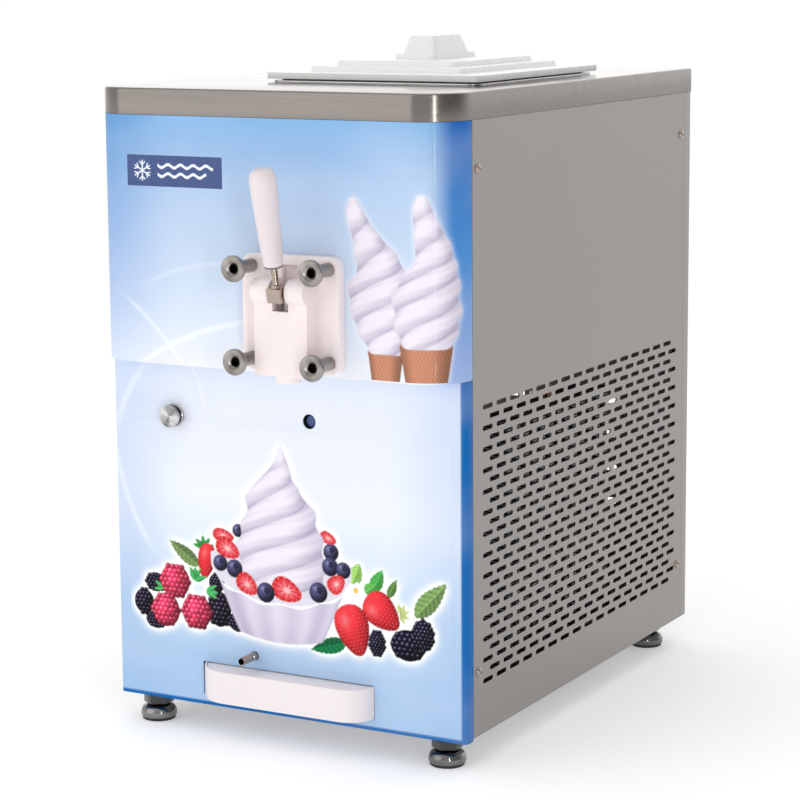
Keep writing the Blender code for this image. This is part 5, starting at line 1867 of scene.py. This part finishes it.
@dataclass
class Prints:
    """The pictures on the two printed sheets and the plain badge."""

    film: float = 0.00012
    cell: float = 0.0009
    lower_edges: tuple[float, ...] = (-0.190, -0.063, 0.064, 0.190)
    lower_heights: tuple[float, float] = (0.0850, 0.3260)
    cone_heights: tuple[float, float] = (0.3915, 0.5850)
    cone_start: float = 0.082
    badge: tuple[float, float, float, float] = (-0.158, -0.046, 0.569, 0.600)

    def sheet(
        self, name: str, left: float, right: float, bottom: float, top: float, y: float, cell: float
    ) -> bpy.types.Object:
        """Lays a fine flat grid just proud of a sheet that faces the front.

        Args:
            name: The piece's name.
            left: Its left edge.
            right: Its right edge.
            bottom: Its bottom.
            top: Its top.
            y: Where the sheet's face is.
            cell: Size of one cell.

        Returns:
            The grid, one face thick.
        """
        deselect()
        bpy.ops.mesh.primitive_grid_add(
            x_subdivisions=round((right - left) / cell), y_subdivisions=round((top - bottom) / cell), size=1,
            location=((left + right) / 2, y - self.film / 2, (bottom + top) / 2),
            rotation=(math.pi / 2, 0, 0),
            scale=(right - left, top - bottom, 1),
        )
        piece = bpy.context.object
        piece.scale = (right - left, top - bottom, 1)
        return named(name)

    def thicken(self, piece: bpy.types.Object) -> None:
        """Gives a grid the film's thickness."""
        modify(piece, "SOLIDIFY", thickness=self.film, offset=1.0)
        activate(piece)
        bpy.ops.object.shade_smooth_by_angle(angle=math.radians(40))

    def dessert(self) -> Canvas:
        """Paints the bowl of ice cream among berries."""
        canvas = Canvas(-195, 195, 80, 330)
        for start, end, wide, base in (
            ((-104, 176), (-141, 200), 8.5, (104, 128, 78)), ((148, 152), (184, 190), 11, (112, 142, 84)),
            ((118, 168), (128, 188), 5, (84, 120, 62)), ((70, 116), (28, 104), 9, (20, 104, 62)),
            ((76, 176), (86, 200), 9, (140, 190, 96)), ((100, 172), (112, 196), 8, (70, 152, 70)),
            ((92, 170), (104, 180), 7, (90, 160, 76)),
        ):
            canvas.leaf(start, end, wide, base)
        canvas.tuft(-98, 196, 14, (15, 55, 95, 140, 170), (46, 128, 60))
        canvas.strawberry(-95, 182, 12, 19, -10)
        canvas.flower(81, 171, 9)
        for x, z, wide, tall in (
            (-158, 153, 13, 11), (-173, 131, 13, 14), (-158, 113, 14, 10), (-83, 160, 10, 11),
            (-80, 133, 15, 20), (-58, 122, 12, 11),
        ):
            canvas.cluster(x, z, wide, tall, (30, 22, 44), 0.55, 0.25, 0.20)
        canvas.bowl(-6.5, 192, 83.5, 106, 44)
        for x, z, radius in ((-56, 218, 7), (53, 207, 9)):
            canvas.blueberry(x, z, radius)
        canvas.slice(50, 221, 10, 6, -20)
        canvas.heap((
            (158, -46, 40), (170, -53, 45), (185, -56, 47), (205, -59, 46), (222, -52, 41), (238, -47, 37),
            (250, -46, 32),
            (262, -43, 20), (272, -34, 12), (280, -24, 8), (288, -16, 6), (296, -11, 3), (304, -8, -1),
            (311, -6, -4.4),
        ), 27, 0.62, 0.15)
        canvas.slice(-74, 211, 13, 7, -8)
        canvas.slice(-69, 198, 15, 10, -25)
        for x, z, radius in ((-78, 182, 8.5), (-61, 178, 9.5), (52, 192, 9.5), (67, 190, 8.5)):
            canvas.blueberry(x, z, radius)
        canvas.slice(-46, 163, 14, 10, -35)
        canvas.slice(1, 162, 18, 12, -18)
        canvas.slice(59, 175, 11, 9, 40)
        canvas.blueberry(-24, 157, 10.5)
        canvas.blueberry(38, 164, 10.5)
        for x, z, wide, tall in ((105, 120, 10, 14), (140, 122, 21, 17), (157, 134, 13, 17)):
            canvas.cluster(x, z, wide, tall, (28, 24, 50), 0.55, 0.25, 0.19)
        canvas.strawberry(111, 152, 20, 23, 52)
        canvas.tuft(131, 153, 12, (-60, -20, 20, 60, 100), (176, 190, 118))
        canvas.strawberry(78, 130, 22, 27, 18)
        canvas.tuft(-110, 160, 16, (60, 85, 110, 20), (60, 150, 82))
        canvas.tuft(-96, 150, 15, (0, 30, -25), (70, 156, 88))
        canvas.tuft(-148, 148, 13, (100, 150, 190), (70, 156, 88))
        for x, z, wide, tall in ((-134, 157, 19, 19), (-146, 125, 18, 19), (-108, 127, 19, 19)):
            canvas.cluster(x, z, wide, tall, (232, 62, 96), 0.45, 0.62, 0.165)
        canvas.halo(9.0, (255, 255, 255), 0.95)
        return canvas

    def cones(self) -> Canvas:
        """Paints two wafer cups of ice cream beside the door."""
        canvas = Canvas(78, 234, 388, 590)
        canvas.wafer(116, 156, 421, 386, 5)
        canvas.heap((
            (420, 119, 154), (427, 111, 158), (435, 107, 164), (446, 101, 166), (459, 98, 168),
            (472, 95, 168), (484, 96, 164),
            (496, 105, 160), (508, 104, 154), (520, 101, 143), (532, 99, 130), (545, 95, 119), (556, 93, 112),
            (562, 95, 109), (566, 99, 105),
        ), 25, 0.60, 0.30)
        canvas.wafer(151, 206, 428, 386, 7)
        canvas.heap((
            (427, 155, 203), (434, 150, 208), (443, 147, 213), (456, 145, 215), (470, 144, 214),
            (482, 147, 213), (494, 157, 212),
            (506, 167, 209), (520, 168, 205), (534, 167, 197), (548, 166, 190), (560, 166, 184),
            (567, 168, 182), (571, 172, 179),
        ), 25, 0.60, 0.05)
        canvas.halo(5.0, (240, 246, 252), 0.30)
        return canvas

    def emblem(self) -> Canvas:
        """Paints the plain blue badge with a six-armed ice crystal and two waves."""
        left, right, bottom, top = (edge * 1000 for edge in self.badge)
        canvas = Canvas(left - 1, right + 1, bottom - 1, top + 1, 0.25)
        everywhere = canvas.window((left + right) / 2, (bottom + top) / 2, right - left)
        canvas.lay(everywhere, np.ones_like(canvas.x), shade((30, 64, 126)))
        x, z = left + 18, (bottom + top) / 2
        for arm in range(6):
            cos, sin = math.cos(arm * math.pi / 3 + math.pi / 2), math.sin(arm * math.pi / 3 + math.pi / 2)
            along = (canvas.x - x) * cos + (canvas.z - z) * sin
            across = np.abs((canvas.z - z) * cos - (canvas.x - x) * sin)
            stem = np.maximum(across - 0.7, np.maximum(along - 10.5, -along))
            barb = np.maximum(np.abs(along - 5.6 - across) - 0.9, across - 3.4)
            canvas.lay(everywhere, canvas.solid(np.minimum(stem, barb)), shade((248, 250, 255)))
        for height, reach in ((5.0, 66), (-4.0, 58)):
            line = z + height + 1.6 * np.sin((canvas.x - left) * 0.42)
            inside = (canvas.x > left + 36) & (canvas.x < left + 36 + reach)
            canvas.lay(
                everywhere, canvas.solid(np.abs(canvas.z - line) - 1.5) * inside, shade((248, 250, 255))
            )
        return canvas

    def lower(self) -> None:
        """Lays the dessert picture on the lower front in three pieces."""
        canvas = self.dessert()
        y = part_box("lower_front_panel")[0].y
        bottom, top = self.lower_heights
        for number, (left, right) in enumerate(zip(self.lower_edges, self.lower_edges[1:]), start=1):
            piece = self.sheet(f"dessert_film_{number}", left, right, bottom, top, y, self.cell)
            self.thicken(piece)
            if left < DRAIN[0] < right:
                subtract(piece, rod("drain_hole", (DRAIN[0], y, DRAIN[1]), 0.0052, 0.01, Axis.Y, 40))
            canvas.paint(piece, lambda points: points[:, 0] * 1000)
            install(piece, "chassis", [LOWER_FILM])

    def corner(self) -> None:
        """Lays the cone picture across the bonnet and round its right corner."""
        canvas = self.cones()
        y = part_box("front_bonnet")[0].y
        bottom, top = self.cone_heights
        turn_x = HALF_WIDTH - CORNER
        piece = self.sheet("cone_film", self.cone_start, turn_x, bottom, top, y, self.cell)
        with Edit(piece) as work:
            work.edges(lambda a, b: a.x > turn_x - 1e-6 and b.x > turn_x - 1e-6)
            steps = round(CORNER * math.pi / 2 / self.cell)
            bpy.ops.mesh.spin(steps=steps, angle=-math.pi / 2, center=(turn_x, y + CORNER, 0), axis=(0, 0, 1))
            work.tidy()
        self.thicken(piece)

        def across(points: np.ndarray) -> np.ndarray:
            """Measures along the flat front and then round the corner."""
            angle = np.arctan2(points[:, 0] - turn_x, np.maximum(y + CORNER - points[:, 1], 1e-9))
            return np.where(points[:, 0] > turn_x, turn_x + CORNER * angle, points[:, 0]) * 1000

        canvas.paint(piece, across)
        install(piece, "chassis", [BONNET_FILM])

    def label(self) -> None:
        """Sticks the badge on the bonnet."""
        left, right, bottom, top = self.badge
        piece = self.sheet("plain_badge", left, right, bottom, top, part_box("front_bonnet")[0].y, 0.0005)
        self.thicken(piece)
        self.emblem().paint(piece, lambda points: points[:, 0] * 1000)
        install(piece, "chassis", [BADGE_FILM])

    def build(self) -> None:
        """Lays all the films."""
        self.lower()
        self.corner()
        self.label()


# ---------------------------------------------------------------- studio


@dataclass
class Studio:
    """Pale floor, soft lights and the camera."""

    camera_place: Point = (1.3012, -2.3594, 0.7923)
    yaw: float = 28.72
    pitch: float = 9.01
    roll: float = -0.41
    lens: float = 114.2
    rise: float = -0.05

    def floor(self) -> None:
        """Lays the floor."""
        deselect()
        bpy.ops.mesh.primitive_grid_add(x_subdivisions=8, y_subdivisions=8, size=160, location=(0, 0, 0))
        floor = named("studio_floor")
        recipe = Recipe("floor_paper")
        cloud = recipe.noise((1.5, 1.5, 1.5), 2.0)
        recipe.set(
            Base_Color=recipe.mix(recipe.span(cloud, 0.3, 0.7), (0.89, 0.89, 0.89), (0.91, 0.91, 0.91)),
            Roughness=0.9,
            Emission_Color=(1.0, 1.0, 1.0), Emission_Strength=0.28,
        )
        floor.data.materials.append(recipe.material)

    def sky(self) -> None:
        """Lights the room evenly, dimmer on the right and brighter behind."""
        world = bpy.data.worlds.new("room")
        bpy.context.scene.world = world
        world.use_nodes = True
        tree = world.node_tree
        place = tree.nodes.new("ShaderNodeTexCoord")
        split = tree.nodes.new("ShaderNodeSeparateXYZ")
        band = tree.nodes.new("ShaderNodeValToRGB")
        tree.links.new(place.outputs["Generated"], split.inputs[0])
        tree.links.new(split.outputs["Z"], band.inputs[0])
        band.color_ramp.elements[0].color = (0.80, 0.80, 0.80, 1)
        band.color_ramp.elements[1].color = (0.68, 0.68, 0.68, 1)
        spans = {}
        for way, start, end, last in (("X", 0.35, 0.95, 0.40), ("Y", 0.3, 0.8, 1.9)):
            spans[way] = tree.nodes.new("ShaderNodeMapRange")
            for socket, value in (("From Min", start), ("From Max", end), ("To Min", 1.0), ("To Max", last)):
                spans[way].inputs[socket].default_value = value
            tree.links.new(split.outputs[way], spans[way].inputs["Value"])
        tree.links.new(spans["Y"].outputs[0], tree.nodes["Background"].inputs["Strength"])
        dimmed = tree.nodes.new("ShaderNodeVectorMath")
        dimmed.operation = "SCALE"
        tree.links.new(band.outputs[0], dimmed.inputs[0])
        tree.links.new(spans["X"].outputs[0], dimmed.inputs["Scale"])
        tree.links.new(dimmed.outputs[0], tree.nodes["Background"].inputs["Color"])

    def light(self, name: str, place: Point, aim: Point, size: tuple[float, float], power: float) -> None:
        """Hangs one soft light.

        Args:
            name: The light's name.
            place: Where it hangs.
            aim: The point it faces.
            size: Its width and height.
            power: Its power in watts.
        """
        data = bpy.data.lights.new(name, "AREA")
        data.shape = "RECTANGLE"
        data.size, data.size_y = size
        data.energy = power
        light = bpy.data.objects.new(name, data)
        bpy.context.scene.collection.objects.link(light)
        light.location = place
        light.rotation_euler = (Vector(aim) - Vector(place)).to_track_quat("-Z", "Y").to_euler()

    def camera(self) -> None:
        """Sets the camera."""
        yaw, pitch, roll = (math.radians(angle) for angle in (self.yaw, self.pitch, self.roll))
        ahead = Vector((-math.sin(yaw) * math.cos(pitch), math.cos(yaw) * math.cos(pitch), -math.sin(pitch)))
        level = Vector((math.cos(yaw), math.sin(yaw), 0))
        over = level.cross(ahead)
        right = level * math.cos(roll) + over * math.sin(roll)
        up = over * math.cos(roll) - level * math.sin(roll)
        data = bpy.data.cameras.new("camera")
        data.lens = self.lens
        data.sensor_width = 36
        data.shift_y = self.rise
        camera = bpy.data.objects.new("camera", data)
        bpy.context.scene.collection.objects.link(camera)
        turn = Matrix((right, up, -ahead)).transposed().to_4x4()
        camera.matrix_world = Matrix.Translation(self.camera_place) @ turn
        bpy.context.scene.camera = camera

    def build(self) -> None:
        """Sets up the room."""
        self.floor()
        self.sky()
        self.light("overhead", (-0.3, -0.3, 2.6), (0, 0, 0.3), (2.4, 2.4), 8)
        self.light("front_left", (-1.9, -3.0, 1.6), (0, -0.2, 0.35), (3.0, 2.6), 20.5)
        self.light("corner_strip", (1.66, -1.86, 0.75), (0.19, -0.24, 0.55), (0.06, 1.5), 7.5)
        self.camera()
        bpy.context.scene.view_settings.view_transform = "Standard"


def main() -> None:
    """Builds the machine's pieces in order."""
    logging.basicConfig(level=logging.INFO, format="%(message)s")
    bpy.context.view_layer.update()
    for assembly in (Casing(), HopperTop(), Dispenser(), LowerFittings(), Works(), Prints()):
        LOG.info("building %s", type(assembly).__name__)
        assembly.build()
    Studio().build()
    deselect()


if __name__ == "__main__":
    main()
